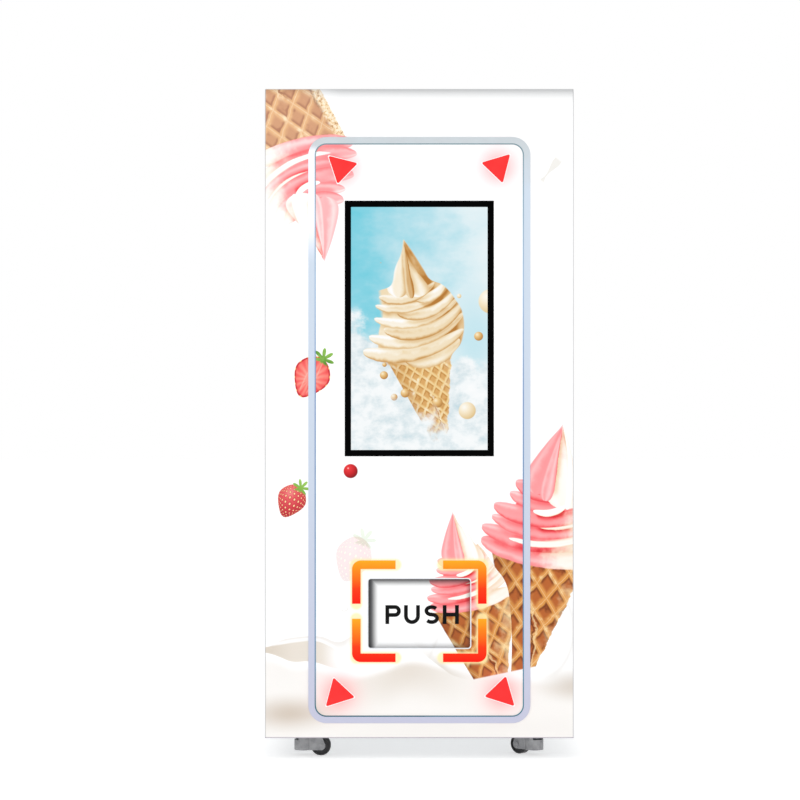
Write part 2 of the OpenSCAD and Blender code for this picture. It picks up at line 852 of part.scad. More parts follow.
// Outline of a castor's cheek, seen from the side
module cheek() {
    translate([trail, wheel_r]) circle(r = 11);
    polygon([[0, 16], [18, 14], [trail - 2, wheel_r - 10.8], [trail + 10.9, wheel_r + 1.5],
             [trail - 4, 64], [0, 64]]);
}

// Cast housing with its axle bolt
module castor_body() color("#8f9093") {
    top = castor_h - 8 - slip;
    cheek_y = wheel_w / 2 + 1;
    skirt = 14;
    difference() {
        union() {
            translate([0, 0, skirt]) cylinder(h = top - skirt, r = 23);
            for (sy = [-1, 1])
                translate([0, sy > 0 ? cheek_y + 4 : -cheek_y, 0])
                    rotate([90, 0, 0]) linear_extrude(height = 4) cheek();
            block([0, -cheek_y - 4, 54], [trail - 6, cheek_y + 4, 64]);
        }
        translate([0, 0, skirt - 1]) cylinder(h = 44, r = 19.5);
        translate([0, 0, 50]) cylinder(h = 30, r = king_r + fit);
        translate([trail, 0, wheel_r]) rotate([90, 0, 0])
            cylinder(h = 2 * cheek_y, r = wheel_r + 3, center = true);
        translate([trail, 0, wheel_r]) rotate([90, 0, 0])
            cylinder(h = 60, r = axle_r + fit / 2, center = true);
        translate([-24, -20, 40]) cube([26, 40, 14]);
    }
    translate([trail, 0, wheel_r]) rotate([90, 0, 0]) {
        cylinder(h = 2 * cheek_y + 10, r = axle_r, center = true);
        for (s = [-1, 1]) translate([0, 0, s * (cheek_y + 5.6)]) cylinder(h = 3, r = 6.5, center = true);
    }
}

// Half outline of the wheel's section, from its bore out to its tread
wheel_half = [[axle_r + fit, 0], [9, 0], [10, 2], [19, 2], [20, 0], [wheel_r - 2, 0], [wheel_r, 3]];

module castor_wheel() color("#151516") {
    half = wheel_w / 2;
    lower = [for (p = wheel_half) [p[0], p[1] - half]];
    upper = [for (i = [len(wheel_half) - 1:-1:0]) [wheel_half[i][0], half - wheel_half[i][1]]];
    translate([trail, 0, wheel_r]) rotate([90, 0, 0])
        rotate_extrude()
            polygon(concat(lower, upper));
}

// Thumb dial with a fluted edge
module castor_dial() color("#1f2022") {
    difference() {
        translate([0, 0, 41]) cylinder(h = 12, r = 18.8);
        translate([0, 0, 40]) cylinder(h = 14, r = foot_rod_r + fit);
        for (a = [0:15:345]) rotate(a) translate([19.2, 0, 40]) cylinder(h = 14, r = 1.3);
    }
}

module castor_foot() color("#2a2a2c") {
    translate([0, 0, pad_z + 3]) cylinder(h = 57, r = foot_rod_r);
    translate([0, 0, pad_z + 2]) cylinder(h = 6, r = 12);
    translate([0, 0, pad_z]) cylinder(h = 5, r = 17.5);
}

welded_frame();
base_pan();
left_side_panel();
right_side_panel();
rear_panel();
roof_panel();
tray_deck();
machine_deck();
mix_hopper();
hopper_lid();
freezing_barrel();
insulation_jacket();
dispensing_head();
draw_plunger();
beater();
gear_motor();
compressor();
condenser();
fan_shroud();
fan_motor();
fan_rotor();
cup_magazine();
carriage_rails();
cup_carriage();
cup_platform();
topping_canisters();
waste_tank();
control_box();
power_inlet();
door_skin();
door_liner();
centre_panel();
light_ring();
display_bezel();
display_screen();
port_frame();
push_flap();
flap_pin();
door_gasket();
door_hinges();
frame_hinges();
lock_cylinder();
lock_cam();
castor_plates();

// Castor pieces, one node for each corner
for (i = [0:3]) {
    at_castor(i) castor_body();
    at_castor(i) castor_wheel();
    at_castor(i) castor_dial();
    at_castor(i) castor_foot();
}
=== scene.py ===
"""Looks of the soft serve machine: print, finishes, small hardware, floor, light and camera."""

import json
import math

import bmesh
import bpy
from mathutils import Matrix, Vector


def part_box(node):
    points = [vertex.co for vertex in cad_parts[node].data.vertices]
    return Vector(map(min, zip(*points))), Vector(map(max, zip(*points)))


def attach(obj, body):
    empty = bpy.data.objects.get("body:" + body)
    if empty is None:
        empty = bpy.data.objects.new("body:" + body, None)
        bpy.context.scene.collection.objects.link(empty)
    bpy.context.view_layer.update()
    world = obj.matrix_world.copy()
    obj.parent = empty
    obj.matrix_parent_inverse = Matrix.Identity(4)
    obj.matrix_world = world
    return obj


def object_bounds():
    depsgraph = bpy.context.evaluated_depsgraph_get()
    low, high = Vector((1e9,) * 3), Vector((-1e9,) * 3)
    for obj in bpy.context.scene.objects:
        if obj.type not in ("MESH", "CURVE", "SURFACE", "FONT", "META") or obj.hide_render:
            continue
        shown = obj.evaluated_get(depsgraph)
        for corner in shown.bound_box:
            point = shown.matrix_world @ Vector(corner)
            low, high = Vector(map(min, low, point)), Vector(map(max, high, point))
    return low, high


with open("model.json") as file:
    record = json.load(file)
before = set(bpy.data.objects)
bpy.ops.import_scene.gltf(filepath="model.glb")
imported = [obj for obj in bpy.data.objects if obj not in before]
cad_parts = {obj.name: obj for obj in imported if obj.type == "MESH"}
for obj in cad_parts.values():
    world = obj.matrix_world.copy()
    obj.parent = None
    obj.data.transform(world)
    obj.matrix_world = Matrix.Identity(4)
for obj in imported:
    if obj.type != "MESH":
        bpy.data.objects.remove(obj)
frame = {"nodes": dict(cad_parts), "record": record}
cad_low, cad_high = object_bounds()
NODES = frame["nodes"]
TAU = 2 * math.pi
# Stretch of a noise that is the same at every depth, as a print is on all the sheets it crosses.
FLAT = (1.0, 0.0, 1.0)


# ---------------------------------------------------------------- numbers that vary over a surface


class Ink:
    """A value in a node tree. Arithmetic on it adds math nodes to its tree."""

    def __init__(self, tree, socket):
        self.tree = tree
        self.socket = socket

    def __neg__(self):
        return calc("MULTIPLY", self, -1.0)

    def __abs__(self):
        return calc("ABSOLUTE", self)


for sign, math_operation in (("add", "ADD"), ("sub", "SUBTRACT"), ("mul", "MULTIPLY"), ("truediv", "DIVIDE"),
                             ("pow", "POWER")):
    setattr(Ink, f"__{sign}__", lambda ink, other, does=math_operation: calc(does, ink, other))
    setattr(Ink, f"__r{sign}__", lambda ink, other, does=math_operation: calc(does, other, ink))


def feed(tree, socket, value):
    """Gives an input socket an Ink, a web colour such as "#B4602A" or a plain number."""
    if isinstance(value, Ink):
        tree.links.new(value.socket, socket)
    else:
        socket.default_value = rgb(value) if isinstance(value, str) else value


def calc(operation, *values):
    """One math node on Inks and plain numbers."""
    tree = next(v.tree for v in values if isinstance(v, Ink))
    node = tree.nodes.new("ShaderNodeMath")
    node.operation = operation
    for socket, value in zip(node.inputs, values):
        feed(tree, socket, value)
    return Ink(tree, node.outputs[0])


def fract(value):
    return calc("FRACT", value)


def low(a, b):
    return calc("MINIMUM", a, b)


def high(a, b):
    return calc("MAXIMUM", a, b)


def held(value):
    """The value kept between 0 and 1."""
    node = value.tree.nodes.new("ShaderNodeClamp")
    feed(value.tree, node.inputs["Value"], value)
    return Ink(value.tree, node.outputs[0])


def reach(a, b):
    """Length of the vector (a, b)."""
    return calc("SQRT", a * a + b * b)


def ease(start, end, value):
    """0 before start, 1 after end and a smooth change between; start may be the larger one."""
    node = value.tree.nodes.new("ShaderNodeMapRange")
    node.interpolation_type = "SMOOTHSTEP"
    node.clamp = False
    feed(value.tree, node.inputs["From Min"], start)
    feed(value.tree, node.inputs["From Max"], end)
    feed(value.tree, node.inputs["Value"], value)
    return Ink(value.tree, node.outputs["Result"])


def span(value, start, end):
    """A value from 0 to 1 spread over start to end."""
    return value * (end - start) + start


def rgb(code):
    """Linear colour of a six-digit web colour."""
    shares = [int(code[i : i + 2], 16) / 255 for i in (1, 3, 5)]
    return tuple(((s + 0.055) / 1.055) ** 2.4 if s > 0.04045 else s / 12.92 for s in shares) + (1.0,)


def over(under, paint, cover):
    """Paint laid over another colour where cover is 1."""
    tree = cover.tree
    node = tree.nodes.new("ShaderNodeMix")
    node.data_type = "RGBA"
    feed(tree, node.inputs[0], cover)
    feed(tree, node.inputs[6], under)
    feed(tree, node.inputs[7], paint)
    return Ink(tree, node.outputs[2])


def ramp(value, *stops):
    """Colours along a value: stops are (place, web colour)."""
    node = value.tree.nodes.new("ShaderNodeValToRGB")
    band = node.color_ramp
    while len(band.elements) < len(stops):
        band.elements.new(0.5)
    for element, (place, code) in zip(band.elements, stops):
        element.position = place
        element.color = rgb(code)
    value.tree.links.new(value.socket, node.inputs["Fac"])
    return Ink(value.tree, node.outputs["Color"])


def point(x, y, z):
    """A vector put together from three values."""
    tree = next(v.tree for v in (x, y, z) if isinstance(v, Ink))
    node = tree.nodes.new("ShaderNodeCombineXYZ")
    for socket, value in zip(node.inputs, (x, y, z)):
        feed(tree, socket, value)
    return Ink(tree, node.outputs[0])


def axes_of(place):
    """The three parts of a vector."""
    node = place.tree.nodes.new("ShaderNodeSeparateXYZ")
    place.tree.links.new(place.socket, node.inputs[0])
    return tuple(Ink(place.tree, s) for s in node.outputs)


def noise(place, scale, detail=2.0, roughness=0.5, stretch=None):
    """Smooth noise from 0 to 1, scale lumps a metre; stretch multiplies the scale on each axis."""
    tree = place.tree
    if stretch:
        node = tree.nodes.new("ShaderNodeVectorMath")
        node.operation = "MULTIPLY"
        feed(tree, node.inputs[0], place)
        node.inputs[1].default_value = stretch
        place = Ink(tree, node.outputs[0])
    node = tree.nodes.new("ShaderNodeTexNoise")
    node.inputs["Scale"].default_value = scale
    node.inputs["Detail"].default_value = detail
    node.inputs["Roughness"].default_value = roughness
    feed(tree, node.inputs["Vector"], place)
    return Ink(tree, node.outputs["Fac"])


def cells(place, scale, feature="F1", output="Distance", spread=1.0):
    """Distance to the nearest point of a scattered pattern, or its colour."""
    tree = place.tree
    node = tree.nodes.new("ShaderNodeTexVoronoi")
    node.feature = feature
    node.inputs["Scale"].default_value = scale
    node.inputs["Randomness"].default_value = spread
    feed(tree, node.inputs["Vector"], place)
    return Ink(tree, node.outputs[output])


# ---------------------------------------------------------------- shared picture elements


def grouped(name, takes, gives):
    """Makes a function of Inks into one shared node group. Names that end in colour are colours."""

    def wrap(draw):
        made = []

        def build():
            tree = bpy.data.node_groups.new(name, "ShaderNodeTree")
            for side, names in (("INPUT", takes), ("OUTPUT", gives)):
                for word in names:
                    kind = "NodeSocketColor" if word.endswith("colour") else "NodeSocketFloat"
                    tree.interface.new_socket(word, in_out=side, socket_type=kind)
            entry = tree.nodes.new("NodeGroupInput")
            leave = tree.nodes.new("NodeGroupOutput")
            results = draw(*(Ink(tree, entry.outputs[word]) for word in takes))
            for word, result in zip(gives, results):
                feed(tree, leave.inputs[word], result)
            return tree

        def use(tree, *values):
            if not made:
                made.append(build())
            node = tree.nodes.new("ShaderNodeGroup")
            node.node_tree = made[0]
            for word, value in zip(takes, values):
                feed(tree, node.inputs[word], value)
            return tuple(Ink(tree, node.outputs[word]) for word in gives)

        return use

    return wrap


def band_of(value, centre, half, blur):
    """1 within half of the centre, with soft sides."""
    return ease(half + blur, half - blur, abs(value - centre))


def curve_of(value, points, low_end, high_end):
    """A smooth curve through (value, height) points; all of them lie between low_end and high_end."""
    tree = value.tree
    node = tree.nodes.new("ShaderNodeFloatCurve")
    first, last = points[0][0], points[-1][0]
    curve = node.mapping.curves[0]
    spots = [((v - first) / (last - first), (h - low_end) / (high_end - low_end)) for v, h in points]
    while len(curve.points) < len(spots):
        curve.points.new(0.5, 0.5)
    for spot, (a, b) in zip(curve.points, spots):
        spot.location = (a, b)
    node.mapping.update()
    feed(tree, node.inputs["Value"], held((value - first) / (last - first)))
    return Ink(tree, node.outputs[0]) * (high_end - low_end) + low_end


FOLD_TAKES = ("x", "z", "grit", "middle_x", "middle_z", "run", "rise", "half", "bow", "width", "point",
              "tone", "slope", "cream_from", "cream_to", "under_tone", "under_cream", "under_cover")


@grouped("fold", FOLD_TAKES, ("tone", "cream", "cover"))
def fold(x, z, grit, middle_x, middle_z, run, rise, half, bow, width, point_share,
         tone, slope, cream_from, cream_to, under_tone, under_cream, under_cover):
    """One fold of piped ice cream: a bowed ribbon laid over the folds below it, which it shades."""
    dx = x - middle_x
    dz = z - middle_z
    u = (dx * run + dz * rise) / half
    off = dz * run - dx * rise - bow * (1 - u * u)
    share = held(u * 0.5 + 0.5)
    round_end = calc("SQRT", high(1 - (u * u) * (u * u), 0.0))
    wide = width * round_end * (1 - point_share * share)
    v = high(low(off / high(wide, 0.003), 1.2), -1.2)
    on = ease(1.0, 0.985, abs(u))
    cover = ease(-0.005, 0.006, wide - abs(off)) * on
    streaks = calc("SINE", v * 6.5 + share * 3.0 + grit * 7.0) * 0.05
    body = tone + slope * v + streaks + (grit - 0.5) * 0.22 - (v * v) * 0.06
    body = body - ease(-0.45, -1.0, v) * 0.20 + band_of(v, 0.62, 0.10, 0.22) * 0.12
    milky = cream_from + (cream_to - cream_from) * share + (grit - 0.5) * 0.55
    below = high(-off - wide, 0.0)
    shade = ease(0.060, 0.0, below) * ease(1.0, 0.72, abs(u)) * ease(0.0, -0.001, off) * 0.34
    under = under_tone - shade
    return (under + (body - under) * cover, under_cream + (milky - under_cream) * cover,
            high(under_cover, cover))


# Folds of the pink and cream twist, from the mouth of the cone up. The unit is the height of the
# swirl, the origin is the middle of the mouth. Each row: both ends, bow, width, how pointed the
# second end is, tone, slope of the tone across it, and how creamy each end is.
TWIST = (
    ((0.00, -0.02), (0.00, 1.00), 0.0, 0.39, 0.97, 0.44, 0.05, 0.2, 0.6),
    ((-0.45, 0.075), (0.44, 0.085), -0.055, 0.078, 0.0, 0.58, -0.10, -0.3, 1.15),
    ((-0.46, 0.170), (0.44, 0.255), -0.085, 0.072, 0.0, 0.56, 0.10, -0.4, 1.10),
    ((-0.25, 0.120), (0.42, 0.310), -0.080, 0.022, 0.0, 0.82, 0.05, 0.9, 1.3),
    ((-0.40, 0.255), (0.42, 0.385), -0.100, 0.064, 0.0, 0.62, 0.12, -0.5, 0.95),
    ((-0.10, 0.250), (0.38, 0.460), -0.070, 0.024, 0.0, 0.85, 0.05, 0.8, 1.3),
    ((-0.40, 0.335), (0.37, 0.480), -0.095, 0.074, 0.0, 0.52, 0.13, -0.5, 0.95),
    ((-0.30, 0.440), (0.33, 0.560), -0.085, 0.062, 0.0, 0.61, 0.14, -0.5, 0.90),
    ((-0.27, 0.525), (0.26, 0.610), -0.075, 0.070, 0.0, 0.50, 0.12, -0.4, 0.90),
    ((0.130, 0.400), (0.000, 1.010), 0.040, 0.170, 1.0, 0.70, -0.10, 0.85, 0.6),
    ((-0.115, 0.470), (0.000, 1.010), 0.015, 0.150, 1.0, 0.50, 0.14, -0.6, -0.2),
    ((-0.035, 0.430), (0.002, 0.990), 0.012, 0.070, 1.0, 0.66, -0.12, -0.5, 0.1),
    ((-0.105, 0.345), (0.120, 0.420), -0.030, 0.024, 0.0, 0.86, 0.05, 1.2, 1.3),
    ((0.135, 0.395), (0.012, 0.960), -0.040, 0.034, 0.8, 0.90, 0.04, 1.3, 1.2),
)
# Folds of the vanilla swirl: they sweep up to the right and their ends show as lobes on the left.
VANILLA_TWIST = (
    ((0.03, -0.04), (0.00, 1.00), 0.0, 0.43, 0.97, 0.58, 0.10, 0.0, 0.0),
    ((-0.10, 0.02), (0.38, 0.13), -0.070, 0.080, 0.3, 0.76, 0.14, 0.0, 0.0),
    ((-0.43, 0.110), (0.42, 0.210), -0.100, 0.072, 0.3, 0.66, 0.26, 0.0, 0.0),
    ((-0.37, 0.225), (0.44, 0.350), -0.125, 0.066, 0.4, 0.76, 0.16, 0.0, 0.0),
    ((-0.24, 0.270), (0.45, 0.440), -0.120, 0.070, 0.4, 0.60, 0.26, 0.0, 0.0),
    ((-0.31, 0.370), (0.43, 0.500), -0.120, 0.052, 0.5, 0.78, 0.16, 0.0, 0.0),
    ((-0.12, 0.400), (0.41, 0.560), -0.095, 0.058, 0.5, 0.66, 0.24, 0.0, 0.0),
    ((-0.29, 0.475), (0.36, 0.610), -0.100, 0.046, 0.5, 0.70, 0.22, 0.0, 0.0),
    ((0.04, 0.500), (0.33, 0.640), -0.050, 0.050, 0.5, 0.80, 0.16, 0.0, 0.0),
    ((-0.25, 0.545), (0.22, 0.620), -0.070, 0.046, 0.3, 0.60, 0.20, 0.0, 0.0),
    ((0.105, 0.520), (0.000, 1.000), 0.055, 0.135, 1.0, 0.78, 0.14, 0.0, 0.0),
    ((-0.095, 0.530), (0.000, 1.010), 0.030, 0.110, 1.0, 0.72, 0.20, 0.0, 0.0),
    ((0.015, 0.510), (0.002, 0.940), 0.008, 0.048, 0.9, 0.26, 0.18, 0.0, 0.0),
)


def pose_of(at, origin, end):
    """Metres across and along the line from origin to end."""
    run, rise = end[0] - origin[0], end[1] - origin[1]
    length = math.hypot(run, rise)
    x, z = at[0] - origin[0], at[1] - origin[1]
    return (x * rise - z * run) / length, (x * run + z * rise) / length


def swirl(across, up, grit, folds):
    """Tone, creaminess and cover of a piped swirl one unit tall."""
    across = across + (grit - 0.5) * 0.014
    up = up + (grit - 0.5) * 0.014
    drawn = (0.5, 0.5, 0.0)
    for start, end, bow, width, point_share, tone, slope, cream_from, cream_to in folds:
        length = math.dist(start, end)
        middle_x = 0.5 * (start[0] + end[0])
        middle_z = 0.5 * (start[1] + end[1])
        drawn = fold(across.tree, across, up, grit, middle_x, middle_z, (end[0] - start[0]) / length,
                     (end[1] - start[1]) / length, 0.5 * length, bow, width, point_share, tone, slope,
                     cream_from, cream_to, *drawn)
    return drawn


def chosen(pick, value, other):
    """other where pick is 1, else value."""
    return value + pick * (other - value)


# Colours of a waffle's deepest shade, its pits, its ridges and its lit crowns.
WAFFLE = ("#6E3311", "#B4602A", "#D9944A", "#F7DDA8")
WAFFLE_PALE = ("#A8735A", "#CE9A76", "#E3B384", "#FBE8C6")
WAFFLE_GOLD = ("#BC8138", "#DDAA66", "#F0CC8A", "#FDF3D6")
# How far the grooves sag across a cone, as a share of its half-width.
CONE_BOW = 0.05
CONE_TAKES = ("across", "down", "grit", "cell", "bow", "half", "length", "lit", "deep_colour", "pit_colour",
              "ridge_colour", "light_colour")


@grouped("waffle", CONE_TAKES, ("colour", "cover"))
def waffle_wall(across, drop_in, grit, cell, bow, half, length, lit, deep, pit, ridge_tint, light):
    """A rolled waffle cone: across and drop_in are metres from the middle of its mouth."""
    jitter = (grit - 0.5) * 0.011
    across = across + jitter
    drop_in = drop_in + jitter
    down = drop_in / length
    width = high((1 - down) * half, 0.0004)
    side = across / width
    curve = high(1 - side * side, 0.0)
    drop = drop_in + curve * bow * half
    rise_a = fract((across * 0.84 + drop * 0.54) / cell)
    rise_b = fract((drop * 0.66 - across * 0.75) / cell)
    near = low(low(rise_a, 1 - rise_a), low(rise_b, 1 - rise_b))
    tone = held(0.40 + (grit - 0.5) * 1.5)
    colour = over(deep, pit, ease(0.05, 0.35, tone))
    colour = over(colour, ridge_tint, ease(0.55, 1.0, tone) * 0.6)
    # Light comes from the upper left: a pit's near walls are dark, its far walls catch light.
    dark_wall = ease(0.34, 0.17, low(rise_a, rise_b)) * 0.80
    bright_wall = ease(0.70, 0.86, high(rise_a, rise_b)) * 0.50
    colour = over(over(colour, deep, dark_wall), ridge_tint, bright_wall)
    crown = over(ridge_tint, light, held(ease(0.50, 0.75, grit) * 0.9 + ease(0.035, 0.0, near) * 0.5))
    colour = over(colour, crown, ease(0.185, 0.085, near))
    colour = over(colour, light, ease(lit, lit + 0.75, side + (grit - 0.5) * 1.5) * 0.62)
    colour = over(colour, deep, ease(-0.30, -1.05, side) * 0.40)
    # The rolled edge of the wafer runs down the cone as a dark, ragged seam with a bright lip.
    seam = side - (down * 1.7 - 0.62) + (grit - 0.5) * 0.55
    lower = ease(0.28, 0.40, down)
    colour = over(colour, light, band_of(seam, 0.10, 0.03, 0.04) * lower * 0.7)
    colour = over(colour, deep, ease(0.05, 0.015, abs(seam)) * lower * 0.9)
    ragged = (grit - 0.5) * 0.12
    cover = ease(1.01, 0.975, abs(side) + ragged) * ease(-0.03, -0.02, down) * ease(1.0, 0.99, down)
    return colour, cover


def leaf_star(across, up, size, leaves, spin):
    """Cover of a crown of pointed leaves round a stalk."""
    angle = calc("ARCTAN2", up, across)
    far = reach(across, up) / size
    petal = abs(calc("SINE", angle * (leaves / 2) + spin))
    return ease(0.02, -0.02, far - (0.30 + 0.70 * calc("POWER", petal, 1.6)))


def berry_outline(across, up):
    """How far out a point is on a strawberry whose middle is (0, 0) and half-size is 1."""
    taper = 1.0 - ease(0.35, -1.15, up) * 0.42 + ease(0.2, 1.0, up) * -0.06
    return reach(across / taper, up)


def tilted(at, centre, half, tilt):
    """Place within a fruit: across and up run from -1 to 1 over it; also the metres before scaling."""
    x, z = at[0] - centre[0], at[1] - centre[1]
    across = x * math.cos(tilt) + z * math.sin(tilt)
    up = z * math.cos(tilt) - x * math.sin(tilt)
    return across / half[0], up / half[1], across, up


def strawberry(at, centre, half, tilt, shift, fade=1.0):
    """A whole strawberry with seeds and leaves: a list of (colour, cover) layers."""
    across, up, wide, tall = tilted(at, centre, half, tilt)
    out = berry_outline(across, up)
    cover = ease(1.01, 0.97, out)
    lit = reach(across + 0.30, up - 0.45)
    flesh = ramp(held(lit * 0.62), (0.0, "#F08A88"), (0.25, "#E0595E"), (0.60, "#CB3D45"), (1.0, "#A3202B"))
    # Seeds sit in dimples on a slanted grid that follows the curve of the fruit.
    bulge = 1.0 / calc("SQRT", high(1.25 - out * out, 0.12))
    a = across * bulge * 3.3 + shift
    b = up * bulge * 3.2
    offset = fract(calc("FLOOR", b) * 0.5)
    seed_x = fract(a + offset) - 0.5
    seed_z = fract(b) - 0.5
    dimple = reach(seed_x * 0.9, seed_z * 0.75)
    flesh = over(flesh, "#A81F2A", ease(0.36, 0.18, dimple) * 0.55)
    flesh = over(flesh, "#FFD6A0", ease(0.19, 0.11, dimple))
    leaves = leaf_star(wide - half[0] * 0.22, tall - half[1] * 0.92, half[1] * 0.52, 7, 0.4)
    green = ramp(held(up * 0.5 + 0.2), (0.0, "#4E7F2C"), (0.5, "#74A63C"), (1.0, "#A2CC62"))
    leaves = leaves * ease(0.62, 0.76, up)
    return [(flesh, cover * fade), (green, leaves * fade)]


def cut_strawberry(at, grit, centre, half, tilt):
    """Half a strawberry, cut face forward: a list of (colour, cover) layers."""
    across, up, wide, tall = tilted(at, centre, half, tilt)
    out = berry_outline(across, up)
    cover = ease(1.01, 0.97, out)
    angle = calc("ARCTAN2", across, up + 0.1)
    veins = calc("SINE", angle * 15.0 + grit * 6.0) * ease(0.15, 0.5, out)
    face = ramp(held(out * 0.62 + veins * 0.13 + (grit - 0.5) * 0.3), (0.0, "#FBA79B"), (0.30, "#F78579"),
                (0.55, "#F0635F"), (0.80, "#DC3B42"), (1.0, "#C5202E"))
    pale = band_of(abs(across), 0.16 + (1 - abs(up)) * 0.10, 0.015, 0.05) * ease(0.85, 0.6, abs(up))
    face = over(face, "#FFC3B2", pale * 0.75)
    face = over(face, "#C01B28", ease(0.86, 0.96, out))
    seeds = ease(0.20, 0.10, reach(fract(angle * 2.4) - 0.5, (out - 0.97) * 5.0))
    face = over(face, "#F3C070", seeds)
    leaves = leaf_star(wide - half[0] * 0.12, tall - half[1] * 0.98, half[1] * 0.50, 7, 1.1)
    leaves = leaves * ease(0.72, 0.84, up)
    return [(face, cover), (ramp(grit, (0.35, "#4F8A2C"), (0.65, "#9CC75E")), leaves)]


@grouped("ball", ("x", "z", "centre_x", "centre_z", "radius"), ("light", "cover"))
def ball_shape(x, z, centre_x, centre_z, radius):
    """How lit a small ball is, from 0 at its bright side to 1, and its cover."""
    across, up = (x - centre_x) / radius, (z - centre_z) / radius
    lit = reach(across + 0.35, up - 0.4)
    return held(lit * 0.62), ease(1.06, 0.94, reach(across, up))


def ball(at, centre, radius, stops):
    """A small shaded ball: colour and cover."""
    lit, cover = ball_shape(at[0].tree, *at, *centre, radius)
    return ramp(lit, *stops), cover


def drop(at, centre, size):
    """A milk drop: a faint grey lower rim."""
    x, z = (at[0] - centre[0]) / size[0], (at[1] - centre[1]) / size[1]
    out = reach(x, z)
    rim = band_of(out, 0.85, 0.06, 0.16) * ease(0.3, -0.6, z - x * 0.5)
    return "#CFC8C0", rim * 0.75


PINK = ((0.0, "#D92A33"), (0.14, "#EF5A60"), (0.34, "#F98A8D"), (0.55, "#FD9FA1"), (0.72, "#FEBDBE"),
        (0.90, "#FFDCDA"), (1.0, "#FFF0EE"))
CREAM = ((0.0, "#EBCFAE"), (0.30, "#F3E0CC"), (0.5, "#F9EEE2"), (0.75, "#FBF6F0"), (1.0, "#FFFEFC"))
VANILLA = ((0.0, "#B87A30"), (0.18, "#CC9A58"), (0.38, "#E2BF8C"), (0.56, "#F1DDB8"), (0.74, "#FAEFD9"),
           (0.92, "#FFFBF3"), (1.0, "#FFFFFF"))


def spread_layers(paint, layers):
    """Lays (colour, cover) pairs over a colour in turn."""
    for colour, cover in layers:
        paint = over(paint, colour, cover)
    return paint


def milk_paint(at, paint):
    """Folds of poured milk along the foot of the picture."""
    x, z = at
    left, right = cad_low.x - 0.01, cad_high.x + 0.01
    back = curve_of(x, ((left, 0.268), (-0.345, 0.300), (-0.300, 0.310), (-0.242, 0.311), (-0.198, 0.298),
                        (-0.165, 0.312), (-0.05, 0.330), (right, 0.34)), 0.0, 0.5)
    rim = curve_of(x, ((left, 0.284), (-0.345, 0.291), (-0.300, 0.298), (-0.255, 0.300), (-0.215, 0.285),
                       (-0.180, 0.262), (right, 0.25)), 0.0, 0.5)
    front = curve_of(x, ((left, 0.270), (-0.366, 0.266), (-0.343, 0.258), (-0.314, 0.247), (-0.268, 0.247),
                         (-0.200, 0.229), (-0.150, 0.226), (-0.090, 0.240), (-0.02, 0.262), (0.07, 0.245),
                         (right, 0.20)), 0.0, 0.5)
    behind = ease(0.0, 0.003, back - z) * ease(0.0, 0.003, z - front)
    shade = behind * ease(0.028, 0.002, back - z) * ease(-0.130, -0.185, x)
    paint = over(paint, "#DDD6CE", shade * 0.55)
    fold_in = ease(0.0, 0.004, rim - z) * ease(0.0, 0.0025, z - front) * ease(-0.190, -0.250, x)
    paint = over(paint, "#E2D9CD", fold_in * 0.95)
    paint = over(paint, "#CFC2B2", fold_in * ease(-0.30, -0.37, x) * 0.5)
    lip = band_of(z - rim, 0.003, 0.002, 0.004) * ease(-0.150, -0.22, x)
    paint = over(paint, "#FFFFFF", lip * 0.9)
    crest = band_of(z - front, -0.003, 0.002, 0.005) * ease(0.12, -0.05, x)
    paint = over(paint, "#FFFFFF", crest)
    below = high(front - z, 0.0)
    paint = over(paint, "#F1EDE8", ease(0.004, 0.030, below) * 0.75)
    crease = curve_of(x, ((left, 0.300), (-0.020, 0.290), (0.010, 0.266), (0.055, 0.2315), (0.088, 0.211),
                          (0.170, 0.1986), (0.252, 0.219), (0.334, 0.2438), (right, 0.249)), 0.0, 0.5)
    hollow = ease(0.0, 0.003, z - crease) * ease(0.034, 0.0, z - crease) * band_of(x, 0.055, 0.03, 0.05)
    paint = over(paint, "#CFC6BA", hollow * 0.8)
    soft = ease(0.006, 0.030, below) * ease(0.130, 0.035, below) * band_of(x, -0.03, 0.10, 0.12)
    paint = over(paint, "#DDD4C9", soft * 0.85)
    dent = ease(0.0, 0.03, below) * ease(0.10, 0.02, below) * band_of(x, -0.34, 0.02, 0.06)
    paint = over(paint, "#F1EEEA", dent)
    # Reflections in the pool, and the ring of milk round the big cone.
    for centre, size, tint, strength in (((-0.318, 0.120), (0.125, 0.050), "#CDBFB0", 0.90),
                                         ((0.392, 0.190), (0.115, 0.045), "#CCC0B3", 0.80),
                                         ((0.060, 0.085), (0.420, 0.040), "#EDEAE6", 0.75)):
        far = reach((x - centre[0]) / size[0], (z - centre[1]) / size[1])
        paint = over(paint, tint, ease(1.20, 0.0, far) * strength)
    bowl = reach((x - 0.290) / 0.088, (z - 0.325) / 0.118)
    paint = over(paint, "#D9D4CF", band_of(bowl, 1.02, 0.02, 0.09) * ease(0.30, 0.36, x) * 0.60)
    stream = band_of(x - (z - 0.23) * 0.45, 0.012, 0.001, 0.010)
    stream = stream * ease(0.240, 0.262, z) * ease(0.335, 0.29, z)
    return over(paint, "#D8D3CD", stream * 0.5)


CONES = (
    # The large one at the right edge, the small one in front of it, the upside-down one at the top.
    dict(mouth=(0.296, 0.498), tip=(0.354, 0.830), top=(0.2945, 0.504), apex=(0.2366, 0.1416), half=0.119,
         cell=0.041, lit=0.62),
    dict(mouth=(0.133, 0.386), tip=(0.0825, 0.615), top=(0.137, 0.382), apex=(0.205, 0.085), half=0.100,
         cell=0.034, lit=0.42),
    dict(mouth=(-0.296, 1.520), tip=(-0.2335, 1.2345), top=(-0.305, 1.520), apex=(-0.385, 1.86), half=0.150,
         cell=0.042, lit=0.45),
)


